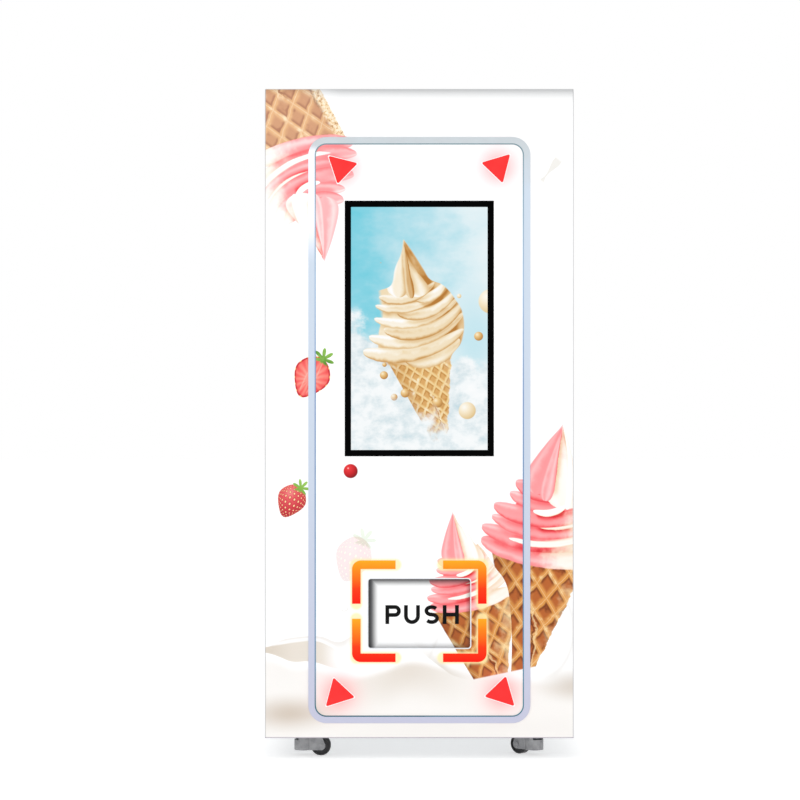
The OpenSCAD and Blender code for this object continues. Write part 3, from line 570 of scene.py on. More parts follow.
def cones_paint(at, grit, paint):
    """The three cones. They are one drawing, and each point shows the cone that is in front there."""
    x, z = at
    small_edge = curve_of(z, ((0.15, 0.2215), (0.405, 0.2215), (0.4404, 0.2133), (0.4794, 0.1873),
                              (0.512, 0.166), (0.5527, 0.1312), (0.615, 0.084), (0.65, 0.080)), 0.05, 0.25)
    on_small = calc("LESS_THAN", x, small_edge)
    on_top = calc("GREATER_THAN", z, 1.0)
    places = []
    for cone in CONES:
        tall = math.dist(cone["mouth"], cone["tip"])
        across, up = pose_of(at, cone["mouth"], cone["tip"])
        side, down = pose_of(at, cone["top"], cone["apex"])
        length = math.dist(cone["top"], cone["apex"])
        places.append((across / tall, up / tall, side * -1.0, down, cone["half"], length, cone["cell"],
                       cone["lit"]))
    picked = [chosen(on_top, chosen(on_small, big, small), top) for big, small, top in zip(*places)]
    across, up, side, down, half, length, cell, lit = picked
    tints = [over(strong, pale, on_top) for strong, pale in zip(WAFFLE, WAFFLE_PALE)]
    colour, cover = waffle_wall(x.tree, side, down, grit, cell, CONE_BOW, half, length, lit, *tints)
    floor_line = ease(0.004, 0.008, z - (0.205 + (x - 0.166) * 0.21))
    # The upside-down cone ends in a torn, flaky edge on its right.
    edge = -0.1905 - (z - 1.557) * 0.530 - x + (grit - 0.5) * 0.012
    flakes = noise(point(x, 0.0, z), 130.0, 3.0, 0.7)
    torn = ease(0.030, 0.018, edge) * on_top
    colour = over(colour, ramp(flakes, (0.36, "#B98A5E"), (0.46, "#F0D3A2"), (0.58, "#FFF3DC")), torn * 0.85)
    crack = band_of(edge + (flakes - 0.5) * 0.030, 0.026, 0.0008, 0.0035) * ease(1.585, 1.640, z)
    colour = over(colour, "#5E4A38", crack * on_top * 0.9)
    paint = over(paint, colour, cover * floor_line * high(ease(-0.001, 0.002, edge), 1 - on_top))
    tone, milky, cover = swirl(across, up, grit, TWIST)
    tone = held(tone + on_top * 0.18)
    milky = milky - on_top * 0.16
    colour = over(ramp(tone, *PINK), ramp(tone, *CREAM), ease(0.30, 0.72, milky))
    wash = high(ease(-0.420, -0.29, x + (z - 1.36) * 0.35), 1 - on_top)
    return over(paint, colour, cover * span(wash, 0.55, 1.0))


# How far the printed light reaches out from the arrows and from the brackets.
ARROW_GLOW, BRACKET_GLOW = 0.044, 0.0050


@grouped("face_print", ("x", "z", "grit", "broad"), ("colour",))
def face_print(x, z, grit, broad):
    """The picture that runs over the door skin, the centre panel and the push flap."""
    at = (x, z)
    paint = ramp(broad, (0.0, "#FBFBFA"), (1.0, "#FFFFFF"))
    paint = cones_paint(at, grit, milk_paint(at, paint))

    # Fruit down the left side, and a pale one behind the bracket.
    pale = dict(centre=(-0.164, 0.500), half=(0.046, 0.058), tilt=-0.35, shift=0.2, fade=0.24)
    cut = dict(centre=(-0.267, 0.948), half=(0.047, 0.055), tilt=-0.50)
    whole = dict(centre=(-0.316, 0.643), half=(0.037, 0.043), tilt=-0.45, shift=0.0)
    paint = spread_layers(paint, strawberry(at, **pale))
    paint = spread_layers(paint, cut_strawberry(at, grit, **cut))
    paint = spread_layers(paint, strawberry(at, **whole))
    red = ((0.0, "#FFC9C4"), (0.10, "#E4363A"), (0.55, "#C01B22"), (1.0, "#5E0A12"))
    paint = over(paint, *ball(at, centre=(-0.169, 0.717), radius=0.0175, stops=red))

    # Drops of milk.
    for centre, size in (((0.350, 1.271), (0.007, 0.009)), ((-0.185, 0.381), (0.011, 0.010))):
        paint = over(paint, *drop(at, centre, size))
    tail, head = (0.303, 1.433), (0.340, 1.480)
    across, up = pose_of(at, tail, head)
    share = up / math.dist(tail, head)
    wide = span(ease(0.30, 0.95, share), 0.0022, 0.0100) + ease(0.18, 0.0, share) * 0.003
    flung = ease(0.0012, -0.0012, abs(across) - wide) * ease(-0.10, 0.0, share) * ease(1.18, 1.02, share)
    paint = over(paint, "#E6E3DD", flung * 0.85)

    # Light from the arrows and the brackets, printed round them.
    for name in ARROWS:
        cx, cz = middle_of(ARROWS[name])
        glow = calc("EXPONENT", (reach(x - cx, z - cz) / ARROW_GLOW) ** 2.0 * -1.0)
        paint = over(paint, "#FF6A70", glow * 0.60)
    out_x, out_z = abs(x - BRACKET["middle"][0]), abs(z - BRACKET["middle"][1])
    gap_x = high(BRACKET["arm_from"][0] - out_x, out_x - BRACKET["half"][0])
    gap_z = high(BRACKET["arm_from"][1] - out_z, out_z - BRACKET["half"][1])
    flat_arm = reach(high(gap_x, 0.0), out_z - BRACKET["half"][1])
    tall_arm = reach(high(gap_z, 0.0), out_x - BRACKET["half"][0])
    far = low(flat_arm, tall_arm) - BRACKET["stroke"] / 2
    paint = over(paint, "#FFE9A8", calc("EXPONENT", (high(far, 0.0) / BRACKET_GLOW) ** 2.0 * -1.0) * 0.80)

    # A soft grey shade under the top bend, and hairlines round the edges.
    low_edge, high_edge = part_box("door_skin")
    bend_shade = ease(high_edge.z - 0.042, high_edge.z + 0.004, z) * 0.9 * ease(-0.30, -0.18, x)
    paint = over(paint, "#CACACA", bend_shade)
    side_gap = low(x - low_edge.x, high_edge.x - x)
    paint = over(paint, "#B9B9BA", ease(0.0034, 0.0008, side_gap) * 0.9)
    paint = over(paint, "#A7A7A8", ease(0.0030, 0.0005, high_edge.z - z) * 0.9)
    return (over(paint, "#8F8498", ease(0.0035, 0.0005, z - low_edge.z) * 0.8),)


def screen_picture(place):
    """What the display shows: a vanilla cone in the clouds."""
    x, _, z = axes_of(place)
    at = (x, z)
    grit = noise(place, 42.0, 3.0, 0.55, stretch=FLAT)
    puffs = noise(place, 13.0, 5.0, 0.62, stretch=FLAT)
    wisps = noise(place, 7.0, 4.0, 0.6, stretch=(1.0, 0.0, 1.6))
    sky = ramp(held(0.18 + (x + 0.15) * 2.1 - (z - 1.25) * 0.25 + (wisps - 0.5) * 0.9),
               (0.0, "#66CCDE"), (0.22, "#86D4E4"), (0.45, "#B4E1EC"), (0.7, "#DDF0F5"), (1.0, "#EDF5F7"))
    lower_right = reach((x - 0.140) / 0.085, (z - 1.05) / 0.16)
    paint = over(sky, "#BFE5EF", ease(1.1, 0.1, lower_right) * 0.80)
    cloud_top = 1.000 + (puffs - 0.5) * 0.24 - (x + 0.02) * 0.40 + abs(x) * 0.25
    cloud = ease(0.02, -0.035, z - cloud_top)
    body = ramp(noise(place, 18.0, 5.0, 0.62, stretch=(1.0, 0.0, 1.3)),
                (0.28, "#BBD6E0"), (0.42, "#DDE9ED"), (0.56, "#F6FAFB"), (0.8, "#FFFFFF"))
    paint = over(paint, body, cloud)
    spray = ease(0.62, 0.80, noise(place, 34.0, 5.0, 0.7, stretch=(1.0, 0.0, 0.6)))
    paint = over(paint, "#FFFFFF", spray * band_of(z - cloud_top, 0.02, 0.02, 0.05) * 0.8)

    # Golden crumbs blown off the top.
    crumbs = point(x, 0.0, z)
    dots = cells(crumbs, 62.0)
    zone = ease(1.0, 0.3, reach((x + 0.045) / 0.085, (z - 1.27) / 0.13))
    pick = ease(0.56, 0.62, noise(crumbs, 60.0, 0.0))
    paint = over(paint, "#D8A85A", ease(0.15, 0.08, dots) * zone * pick)

    gold = ((0.0, "#FFF1D2"), (0.3, "#EFCB8C"), (0.65, "#D3A05A"), (1.0, "#A97332"))
    pale = ((0.0, "#FFFDF6"), (0.4, "#F8E9CB"), (0.8, "#E8CD9A"), (1.0, "#D6B67E"))
    paint = over(paint, *ball(at, (0.118, 0.866), 0.021, pale))
    paint = over(paint, *ball(at, (0.176, 1.135), 0.030, pale))
    mouth, apex = (0.002, 1.000), (0.066, 0.731)
    side, down = pose_of(at, mouth, apex)
    cell, half, lit = 0.020, 0.080, 0.70
    colour, cover = waffle_wall(x.tree, -side, down, grit, cell, CONE_BOW, half, math.dist(mouth, apex), lit,
                                *WAFFLE_GOLD)
    paint = over(paint, colour, cover)
    base, tip = (-0.008, 0.990), (-0.039, 1.287)
    tall = math.dist(base, tip)
    across, up = (part / tall for part in pose_of(at, base, tip))
    tone, _, cover = swirl(across, up, grit, VANILLA_TWIST)
    # Its smooth right side, and the slim tip.
    right = curve_of(up, ((-0.05, 0.26), (0.011, 0.300), (0.139, 0.401), (0.329, 0.426), (0.473, 0.372),
                          (0.592, 0.288), (0.660, 0.180), (0.746, 0.138), (0.906, 0.058), (1.0, 0.004)),
                     0.0, 0.45)
    left = curve_of(up, ((-0.05, 0.50), (0.53, 0.50), (0.60, 0.26), (0.640, 0.140), (0.770, 0.096),
                         (0.901, 0.028), (1.0, 0.004)), 0.0, 0.55)
    inside = ease(0.004, -0.008, across - right) * ease(0.004, -0.008, across * -1.0 - left)
    inside = inside * ease(1.003, 0.995, up)
    cover = high(cover, ease(-0.26, -0.22, across) * ease(-0.03, 0.0, up)) * inside
    tone = tone + 0.06 - ease(-0.10, 0.0, across - right) * ease(0.75, 0.60, up) * 0.14
    tone = held(tone + ease(0.66, 0.80, up) * 0.07)
    paint = over(paint, ramp(tone, *VANILLA), cover)
    for centre, size, tint in (((-0.0856, 0.979), 0.0055, gold), ((-0.087, 0.953), 0.010, gold),
                               ((-0.062, 0.899), 0.0085, gold), ((-0.035, 0.909), 0.011, gold),
                               ((0.045, 0.886), 0.0125, gold), ((0.098, 1.148), 0.0055, pale),
                               ((0.146, 1.049), 0.011, gold)):
        paint = over(paint, *ball(at, centre, size, tint))
    mist = noise(place, 20.0, 4.0, 0.6, stretch=FLAT)
    front = ease(0.012, -0.05, z - (0.872 + (mist - 0.5) * 0.20 - x * 0.45))
    paint = over(paint, body, front)
    low_edge, high_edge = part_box("display_screen")
    rim = low(low(x - low_edge.x, high_edge.x - x), low(z - low_edge.z, high_edge.z - z))
    return over(paint, "#F6FBFD", ease(0.0042, 0.0032, rim) * 0.8)


# ---------------------------------------------------------------- finishes


class Skin:
    """A material being made: its tree, its Principled shader and the place on the object in metres."""

    def __init__(self, name):
        self.material = bpy.data.materials.new(name)
        self.material.use_nodes = True
        self.tree = self.material.node_tree
        self.shader = self.tree.nodes["Principled BSDF"]
        coords = self.tree.nodes.new("ShaderNodeTexCoord")
        self.place = Ink(self.tree, coords.outputs["Object"])
        self.facing = Ink(self.tree, coords.outputs["Normal"])

    def set(self, **values):
        """Sets Principled inputs: base_color=..., roughness=... and so on."""
        for name, value in values.items():
            feed(self.tree, self.shader.inputs[name.replace("_", " ").title().replace("Ior", "IOR")], value)
        return self

    def bump(self, height, strength, depth=0.001):
        """Raises and lowers the surface by height, up to depth metres."""
        node = self.tree.nodes.new("ShaderNodeBump")
        node.inputs["Strength"].default_value = strength
        node.inputs["Distance"].default_value = depth
        feed(self.tree, node.inputs["Height"], height)
        self.tree.links.new(node.outputs["Normal"], self.shader.inputs["Normal"])
        return self

    def edges(self, width):
        """0 on flat faces and up to 1 along edges, for wear and for painted edge highlights."""
        round_normal = self.tree.nodes.new("ShaderNodeBevel")
        round_normal.samples = 4
        round_normal.inputs["Radius"].default_value = width
        true_normal = self.tree.nodes.new("ShaderNodeNewGeometry")
        product = self.tree.nodes.new("ShaderNodeVectorMath")
        product.operation = "DOT_PRODUCT"
        self.tree.links.new(round_normal.outputs[0], product.inputs[0])
        self.tree.links.new(true_normal.outputs["Normal"], product.inputs[1])
        return ease(0.995, 0.86, Ink(self.tree, product.outputs["Value"]))


def mottled(skin, dark, light, scale=14.0, contrast=1.0):
    """A colour that drifts a little between two tones over the surface."""
    drift = noise(skin.place, scale, 4.0, 0.6)
    return ramp(held((drift - 0.5) * contrast + 0.5), (0.25, dark), (0.75, light))


def powder_coat(name, dark, light, rough=0.34, worn="#B9BCBE"):
    """Sprayed and baked enamel with a faint orange peel, rubbed at the edges."""
    skin = Skin(name)
    peel = noise(skin.place, 520.0, 2.0)
    smear = noise(skin.place, 11.0, 4.0, 0.6)
    scuff = skin.edges(0.0012) * ease(0.50, 0.62, noise(skin.place, 160.0, 3.0)) * 0.7
    colour = over(mottled(skin, dark, light), worn, scuff)
    skin.set(base_color=colour, roughness=span(smear, rough - 0.07, rough + 0.09))
    return skin.bump(peel, 0.05, 0.0006).material


def brushed_metal(name, dark, light, rough=0.30, grain=(1.0, 0.02, 1.0), polish=0.0):
    """Sheet or bar metal with a directional grain; polish softens the grain away."""
    skin = Skin(name)
    lines = noise(skin.place, 900.0, 3.0, 0.7, stretch=grain)
    smear = noise(skin.place, 7.0, 5.0, 0.62)
    tone = held(0.35 + lines * 0.35 + (smear - 0.5) * 0.5)
    skin.set(base_color=ramp(tone, (0.2, dark), (0.8, light)), metallic=1.0,
             roughness=held(rough - 0.08 + lines * 0.10 + smear * 0.08))
    return skin.bump(lines, 0.10 * (1 - polish) + 0.01, 0.0004).material


def zinc(name):
    """Galvanised sheet with a soft spangle."""
    skin = Skin(name)
    flakes = cells(skin.place, 95.0, "F1", "Color")
    tone = axes_of(flakes)[0]
    smear = noise(skin.place, 9.0, 4.0)
    colour = ramp(held(tone * 0.55 + smear * 0.45), (0.15, "#9FA5A9"), (0.85, "#C9CED1"))
    skin.set(base_color=colour, metallic=0.9, roughness=span(tone, 0.36, 0.54))
    return skin.bump(noise(skin.place, 300.0, 2.0), 0.04, 0.0004).material


def moulded(name, dark, light, rough=0.45, grain=600.0):
    """Moulded plastic with a fine spark texture and a painted highlight along its edges."""
    skin = Skin(name)
    spark = noise(skin.place, grain, 2.0, 0.6)
    smear = noise(skin.place, 16.0, 4.0, 0.6)
    # Painted highlight: every edge is lightened towards the light tone.
    colour = over(mottled(skin, dark, light, 22.0), light, skin.edges(0.0010) * 0.6)
    skin.set(base_color=colour, roughness=span(smear, rough - 0.08, rough + 0.10))
    return skin.bump(spark, 0.12, 0.0004).material


def rubber(name):
    """Dark rubber with dust in its grain."""
    skin = Skin(name)
    dust = noise(skin.place, 60.0, 5.0, 0.7)
    colour = ramp(dust, (0.35, "#17171A"), (0.60, "#232326"), (0.78, "#3E3D3C"))
    skin.set(base_color=colour, roughness=span(dust, 0.62, 0.9))
    return skin.bump(noise(skin.place, 700.0, 2.0), 0.25, 0.0005).material


def cast(name):
    """Blasted zinc casting, blotchy in tone, and bright where it is rubbed."""
    skin = Skin(name)
    sand = noise(skin.place, 1100.0, 3.0, 0.7)
    stain = noise(skin.place, 45.0, 4.0, 0.65)
    colour = ramp(held(stain * 0.75 + sand * 0.25), (0.25, "#727275"), (0.60, "#A5A5A7"), (0.85, "#C3C3C4"))
    colour = over(colour, "#E0E0E2", skin.edges(0.0008) * 0.7)
    skin.set(base_color=colour, metallic=0.65, roughness=span(stain, 0.42, 0.60))
    return skin.bump(sand, 0.22, 0.0004).material


def foam(name):
    """Skinned polyurethane foam, yellowed in patches, with small pits."""
    skin = Skin(name)
    patch = noise(skin.place, 18.0, 5.0, 0.65)
    pits = cells(skin.place, 420.0)
    colour = ramp(patch, (0.3, "#D9C797"), (0.6, "#EADFBF"), (0.8, "#F3ECD6"))
    colour = over(colour, "#B69F68", ease(0.30, 0.12, pits) * 0.5)
    skin.set(base_color=colour, roughness=span(patch, 0.72, 0.92))
    return skin.bump(pits, 0.35, 0.0008).material


def copper(name):
    """Copper tube and finned coil, dulled in patches."""
    skin = Skin(name)
    patch = noise(skin.place, 38.0, 5.0, 0.62)
    colour = ramp(patch, (0.25, "#7E4A2E"), (0.5, "#B87349"), (0.8, "#D99A6C"))
    skin.set(base_color=colour, metallic=1.0, roughness=span(patch, 0.28, 0.50))
    return skin.bump(noise(skin.place, 260.0, 3.0), 0.10, 0.0004).material


def frosted_band(name):
    """The lit frosted acrylic of the ring: lavender, greyer along the top, whiter at the upper left."""
    skin = Skin(name)
    x, _, z = axes_of(skin.place)
    ring_low, ring_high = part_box("light_ring")
    cloud = noise(skin.place, 30.0, 3.0)
    colour = ramp(held((z - ring_low.z) / (ring_high.z - ring_low.z) + (cloud - 0.5) * 0.06),
                  (0.0, "#BBBCD0"), (0.45, "#BFC9D8"), (0.9, "#C3CFDC"), (0.985, "#BFC6CA"), (1.0, "#BDC3C7"))
    bright = ease(-0.24, -0.262, x) * ease(1.22, 1.34, z) * ease(1.522, 1.50, z)
    colour = over(colour, "#F4F6FF", bright * 0.9)
    skin.set(base_color=colour, roughness=span(cloud, 0.30, 0.42), emission_color=colour)
    skin.set(emission_strength=0.10, specular_ior_level=0.2)
    return skin.bump(noise(skin.place, 900.0, 2.0), 0.05, 0.0003).material


def black_border(name):
    """The black back-printed glass round the display."""
    skin = Skin(name)
    prints = noise(skin.place, 24.0, 5.0, 0.65)
    skin.set(base_color=ramp(prints, (0.3, "#000000"), (0.8, "#030304")), roughness=span(prints, 0.16, 0.34))
    skin.set(specular_ior_level=0.03)
    return skin.bump(noise(skin.place, 60.0, 1.0), 0.01, 0.0003).material


def lit_screen(name):
    """The display: its own picture as light, behind a smooth front."""
    skin = Skin(name)
    picture = screen_picture(skin.place)
    _, facing, _ = axes_of(skin.facing)
    shown = ease(-0.5, -0.9, facing)
    grid = noise(skin.place, 1500.0, 0.0)
    dark = over("#0B0B0D", "#151517", noise(skin.place, 30.0, 3.0))
    light = over("#000000", picture, shown)
    skin.set(base_color=dark, emission_color=light, roughness=span(grid, 0.30, 0.36))
    skin.set(emission_strength=0.98, specular_ior_level=0.15)
    return skin.material


def printed_film(name, shadowed=None):
    """Gloss film with the printed picture on front faces and plain white elsewhere, and painted shade along
    the edges of the part that shadowed names.
    """
    skin = Skin(name)
    x, _, z = axes_of(skin.place)
    grit = noise(skin.place, 30.0, 3.0, 0.55, stretch=FLAT)
    (paint,) = face_print(skin.tree, x, z, grit, noise(skin.place, 9.0, 1.0, 0.5, stretch=FLAT))
    _, facing, _ = axes_of(skin.facing)
    paint = over("#F7F7F6", paint, ease(-0.25, -0.55, facing))
    if shadowed:
        # The flap sits back in its frame, and painted shade darkens its upper and left edges most, its right
        # edge and foot less.
        left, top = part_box(shadowed)[0].x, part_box(shadowed)[1].z
        right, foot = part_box(shadowed)[1].x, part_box(shadowed)[0].z
        shade = ease(0.038, 0.012, top - z) * 0.97
        shade = high(shade, ease(0.032, 0.009, x - left) * 0.94)
        shade = high(shade, ease(0.018, 0.004, right - x) * 0.42)
        shade = high(shade, ease(0.020, 0.005, z - foot) * 0.34)
        paint = over(paint, "#26262A", shade)
    smear = noise(skin.place, 9.0, 4.0, 0.6)
    skin.set(base_color=paint, roughness=span(smear, 0.24, 0.36))
    skin.set(specular_ior_level=0.18, coat_weight=0.06, coat_roughness=0.08)
    return skin.bump(noise(skin.place, 240.0, 2.0), 0.02, 0.0005).material


# ---------------------------------------------------------------- layout of the printed signs

PORT_LOW, PORT_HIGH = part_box("port_frame")
PORT_MIDDLE = (0.5 * (PORT_LOW.x + PORT_HIGH.x), 0.5 * (PORT_LOW.z + PORT_HIGH.z))
BRACKET = {
    "middle": PORT_MIDDLE,
    "half": (0.155, 0.1145),
    "arm_from": (0.0585, 0.0185),
    "stroke": 0.021,
}
ARROWS = {
    "arrow_top_left": ((-0.2205, 1.490), (-0.156, 1.4735), (-0.200, 1.428)),
    "arrow_top_right": ((0.2205, 1.494), (0.157, 1.475), (0.204, 1.430)),
    "arrow_low_left": ((-0.210, 0.205), (-0.227, 0.141), (-0.163, 0.161)),
    "arrow_low_right": ((0.212, 0.208), (0.165, 0.163), (0.231, 0.142)),
}


def middle_of(points):
    return sum(p[0] for p in points) / len(points), sum(p[1] for p in points) / len(points)


# ---------------------------------------------------------------- assigning the finishes

FINISH = {
    "white_shell": lambda n: powder_coat(n, "#F4F4F3", "#F8F8F7"),
    "printed_face": printed_film,
    "frame_paint": lambda n: powder_coat(n, "#5F6468", "#74797D", 0.42, "#A9ABAC"),
    "galvanised": zinc,
    "stainless": lambda n: brushed_metal(n, "#A9ACAE", "#DADCDD", 0.27),
    "bright_metal": lambda n: brushed_metal(n, "#C2C5C8", "#EDEFF0", 0.16, (1.0, 1.0, 1.0), 0.8),
    "cast_alloy": cast,
    "light_band": frosted_band,
    "black_glass": black_border,
    "screen": lit_screen,
    "port_trim": lambda n: moulded(n, "#DFE1E5", "#F4F5F7", 0.28),
    "black_plastic": lambda n: moulded(n, "#131315", "#242427", 0.42),
    "grey_plastic": lambda n: moulded(n, "#4B4E52", "#64686C", 0.46),
    "seal": rubber,
    "foam": foam,
    "motor_paint": lambda n: powder_coat(n, "#40586C", "#4F6A80", 0.40, "#8D969C"),
    "compressor_paint": lambda n: powder_coat(n, "#101113", "#1D1E21", 0.30, "#5C5D5F"),
    "copper": copper,
    "food_plastic": lambda n: moulded(n, "#E3E8EC", "#F3F6F8", 0.36),
}
SLOT_OF = {row["node"]: row["material_slot"] for row in frame["record"]["subparts"]}
MATERIALS = {slot: FINISH[slot](slot + "_finish") for slot in sorted(set(SLOT_OF.values()))}
SPECIAL = {
    # Painted shade along the push flap's edges, where it sits back in its frame.
    "push_flap": printed_film("flap_film_finish", "push_flap"),
    # The block of the condenser is a stack of aluminium fins, so its grain runs upright.
    "condenser": brushed_metal("fin_stack_finish", "#6F7376", "#C9CCCE", 0.42, (1.0, 1.0, 0.01)),
}
for node_name, node_object in NODES.items():
    finish_material = SPECIAL.get(node_name, MATERIALS[SLOT_OF[node_name]])
    for material_slot in node_object.material_slots:
        material_slot.material = finish_material


def bracket_film(name):
    """Bracket colour: orange at the top of each arm and red at its foot."""
    skin = Skin(name)
    _, _, z = axes_of(skin.place)
    reach_up = BRACKET["half"][1] + BRACKET["stroke"] / 2 - BRACKET["arm_from"][1]
    from_middle = z - BRACKET["middle"][1]
    upper = calc("GREATER_THAN", from_middle, 0.0)
    low_foot = from_middle * 0.0 - BRACKET["half"][1] - BRACKET["stroke"] / 2
    foot = chosen(upper, low_foot, BRACKET["arm_from"][1])
    share = held((from_middle - foot) / reach_up + (noise(skin.place, 60.0, 2.0) - 0.5) * 0.05)
    skin.set(base_color=ramp(share, (0.0, "#FD1200"), (0.35, "#FE3A08"), (0.75, "#FE8312"), (1.0, "#FCA61C")))
    skin.set(roughness=span(noise(skin.place, 40.0, 3.0), 0.35, 0.5), specular_ior_level=0.15)
    return skin.bump(noise(skin.place, 400.0, 2.0), 0.03, 0.0003).material


def sign_film(name, dark, light):
    """Cut vinyl film in one colour with a faint mottle."""
    skin = Skin(name)
    skin.set(base_color=mottled(skin, dark, light, 30.0), specular_ior_level=0.12)
    skin.set(roughness=span(noise(skin.place, 50.0, 3.0), 0.38, 0.52))
    return skin.bump(noise(skin.place, 500.0, 2.0), 0.04, 0.0003).material


def bead_finish(name):
    """The bright bead inside the ring: teal along the foot, blue up the sides and pale at the top."""
    skin = Skin(name)
    x, _, z = axes_of(skin.place)
    low_edge, high_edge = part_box("light_ring")
    share = (z - low_edge.z) / (high_edge.z - low_edge.z) + (noise(skin.place, 25.0, 2.0) - 0.5) * 0.02
    colour = ramp(held(share), (0.0, "#075664"), (0.03, "#146C7E"), (0.10, "#5588AA"), (0.55, "#7896C2"),
                  (0.75, "#A0BCD8"), (0.96, "#86A2AE"), (1.0, "#6F8A92"))
    colour = over(colour, "#5D92A4", ease(0.0, 0.05, x) * ease(0.30, 0.0, share) * 0.5)
    skin.set(base_color=colour, roughness=span(share, 0.25, 0.35))
    return skin.bump(noise(skin.place, 900.0, 2.0), 0.05, 0.0003).material


# ---------------------------------------------------------------- mesh tools

X_AXIS, Y_AXIS, Z_AXIS = Vector((1, 0, 0)), Vector((0, 1, 0)), Vector((0, 0, 1))
BEVEL_STEPS = 2
CREASE = math.radians(35)


def piece(name, body, slot, build, finish=None, rounding=0.0):
    """A new object that rides on a body. build fills its mesh, and rounding bevels its edges."""
    shape = bmesh.new()
    build(shape)
    bmesh.ops.recalc_face_normals(shape, faces=shape.faces)
    mesh = bpy.data.meshes.new(name)
    shape.to_mesh(mesh)
    shape.free()
    mesh.shade_smooth()
    mesh.set_sharp_from_angle(angle=CREASE)
    mesh.materials.append(finish or MATERIALS[slot])
    thing = bpy.data.objects.new(name, mesh)
    bpy.context.scene.collection.objects.link(thing)
    if rounding:
        bevel = thing.modifiers.new("rounding", "BEVEL")
        bevel.width = rounding
        bevel.segments = BEVEL_STEPS
        bevel.limit_method = "ANGLE"
        bevel.harden_normals = True
    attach(thing, body)


def skin_loops(shape, loops, closed=False):
    """Joins loops of points, each the same length, into a tube of faces with flat ends."""
    rings = [[shape.verts.new(spot) for spot in loop] for loop in loops]
    pairs = list(zip(rings, rings[1:]))
    if closed:
        pairs.append((rings[-1], rings[0]))
    for here, there in pairs:
        for i in range(len(here)):
            j = (i + 1) % len(here)
            shape.faces.new((here[i], here[j], there[j], there[i]))
    if not closed:
        shape.faces.new(rings[0])
        shape.faces.new(rings[-1])


def block(shape, x_ends, y_ends, z_ends):
    """A box between pairs of ends."""
    (x0, x1), (y0, y1) = x_ends, y_ends
    skin_loops(shape, [[(x0, y0, z), (x1, y0, z), (x1, y1, z), (x0, y1, z)] for z in z_ends])


def plate(shape, outline, back, front):
    """A flat plate with an outline of (x, z) points, from y back to y front."""
    skin_loops(shape, [[(x, y, z) for x, z in outline] for y in (back, front)])


def ribbon(shape, path, width, back, front, closed=False):
    """A flat strip of even width along a path of (x, z) points."""
    loops = []
    last = len(path) - 1
    corners = ((1, back), (1, front), (-1, front), (-1, back))
    for i, (x, z) in enumerate(path):
        before = path[i - 1] if closed or i else path[i]
        after = path[(i + 1) % len(path)] if closed or i < last else path[i]
        run, rise = after[0] - before[0], after[1] - before[1]
        share = width / 2 / math.hypot(run, rise)
        dx, dz = -rise * share, run * share
        loops.append([(x + s * dx, y, z + s * dz) for s, y in corners])
    skin_loops(shape, loops, closed)


def arc(middle, radii, start, end, steps=12):
    """Points along an ellipse's arc; angles in degrees, radii across and up."""
    turns = (math.radians(start + (end - start) * i / steps) for i in range(steps + 1))
    return [(middle[0] + radii[0] * math.cos(t), middle[1] + radii[1] * math.sin(t)) for t in turns]


def rounded(corners, radius, steps=5):
    """An outline with each corner cut round."""
    outline = []
    spots = [Vector(corner) for corner in corners]
    for before, here, after in zip(spots[-1:] + spots[:-1], spots, spots[1:] + spots[:1]):
        ways = [(before - here).normalized(), (after - here).normalized()]
        half = ways[0].angle(ways[1]) / 2
        middle = here + (ways[0] + ways[1]).normalized() * (radius / math.sin(half))
        first, last = (here + way * (radius / math.tan(half)) - middle for way in ways)
        for k in range(steps + 1):
            outline.append(tuple(middle + first.slerp(last, k / steps).normalized() * radius))
    return outline


def hoop(middle, side, other, radius, count, swell=0.0, lobes=5):
    """Points of the circle that side and other span; swell is how far its lobes stand out."""
    points = []
    for turn in (TAU * k / count for k in range(count)):
        way = side * math.cos(turn) + other * math.sin(turn)
        points.append(middle + way * (radius * (1 + swell * math.cos(lobes * turn))))
    return points


def lathe(shape, profile, centre, axis, steps=28):
    """Turns a profile of (radius, distance along the axis) points round an axis."""
    centre, axis = Vector(centre), Vector(axis)
    side = axis.orthogonal().normalized()
    other = axis.cross(side)
    skin_loops(shape, [hoop(centre + axis * far, side, other, radius, steps) for radius, far in profile])


def smooth_path(points, steps=8):
    """A curve that passes through all the points."""
    spots = [Vector(p) for p in points]
    spots = [spots[0] * 2 - spots[1]] + spots + [spots[-1] * 2 - spots[-2]]
    path = []
    for a, b, c, d in zip(spots, spots[1:], spots[2:], spots[3:]):
        for t in (k / steps for k in range(steps)):
            bend = (2 * a - 5 * b + 4 * c - d) * t**2 + (3 * b - a - 3 * c + d) * t**3
            path.append(0.5 * (2 * b + (c - a) * t + bend))
    return path + [spots[-2]]


def tube(shape, points, radius, sides=12, clearance=0.003):
    """A round pipe or cable through the points, which stays clear of the rear panel."""
    back = NODES["rear_panel"].bound_box[0][1] - radius - clearance
    path = [Vector((spot.x, min(spot.y, back), spot.z)) for spot in smooth_path(points)]
    side = (path[1] - path[0]).orthogonal().normalized()
    loops = []
    for i, spot in enumerate(path):
        way = (path[min(i + 1, len(path) - 1)] - path[max(i - 1, 0)]).normalized()
        side = (side - way * side.dot(way)).normalized()
        loops.append(hoop(spot, side, way.cross(side), radius, sides))
    skin_loops(shape, loops)


SCREW_PROFILE = ((0.0045, 0.0), (0.0045, 0.0008), (0.0036, 0.0018), (0.00189, 0.0021), (0.00162, 0.0009),
                 (0.0003, 0.0009))


def screw_head(shape, centre, way):
    """A pan head with a shallow socket."""
    lathe(shape, SCREW_PROFILE, centre, way, 16)


def steps_between(start, end, count):
    """Evenly spaced places from start to end."""
    return [start + (end - start) * i / (count - 1) for i in range(count)]


# ---------------------------------------------------------------- signs on the front

FILM = 0.0004
PANEL_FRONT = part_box("centre_panel")[0].y
FLAP_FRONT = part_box("push_flap")[0].y
LETTER = {"foot": 0.3396, "top": 0.3860, "stroke": 0.0092}
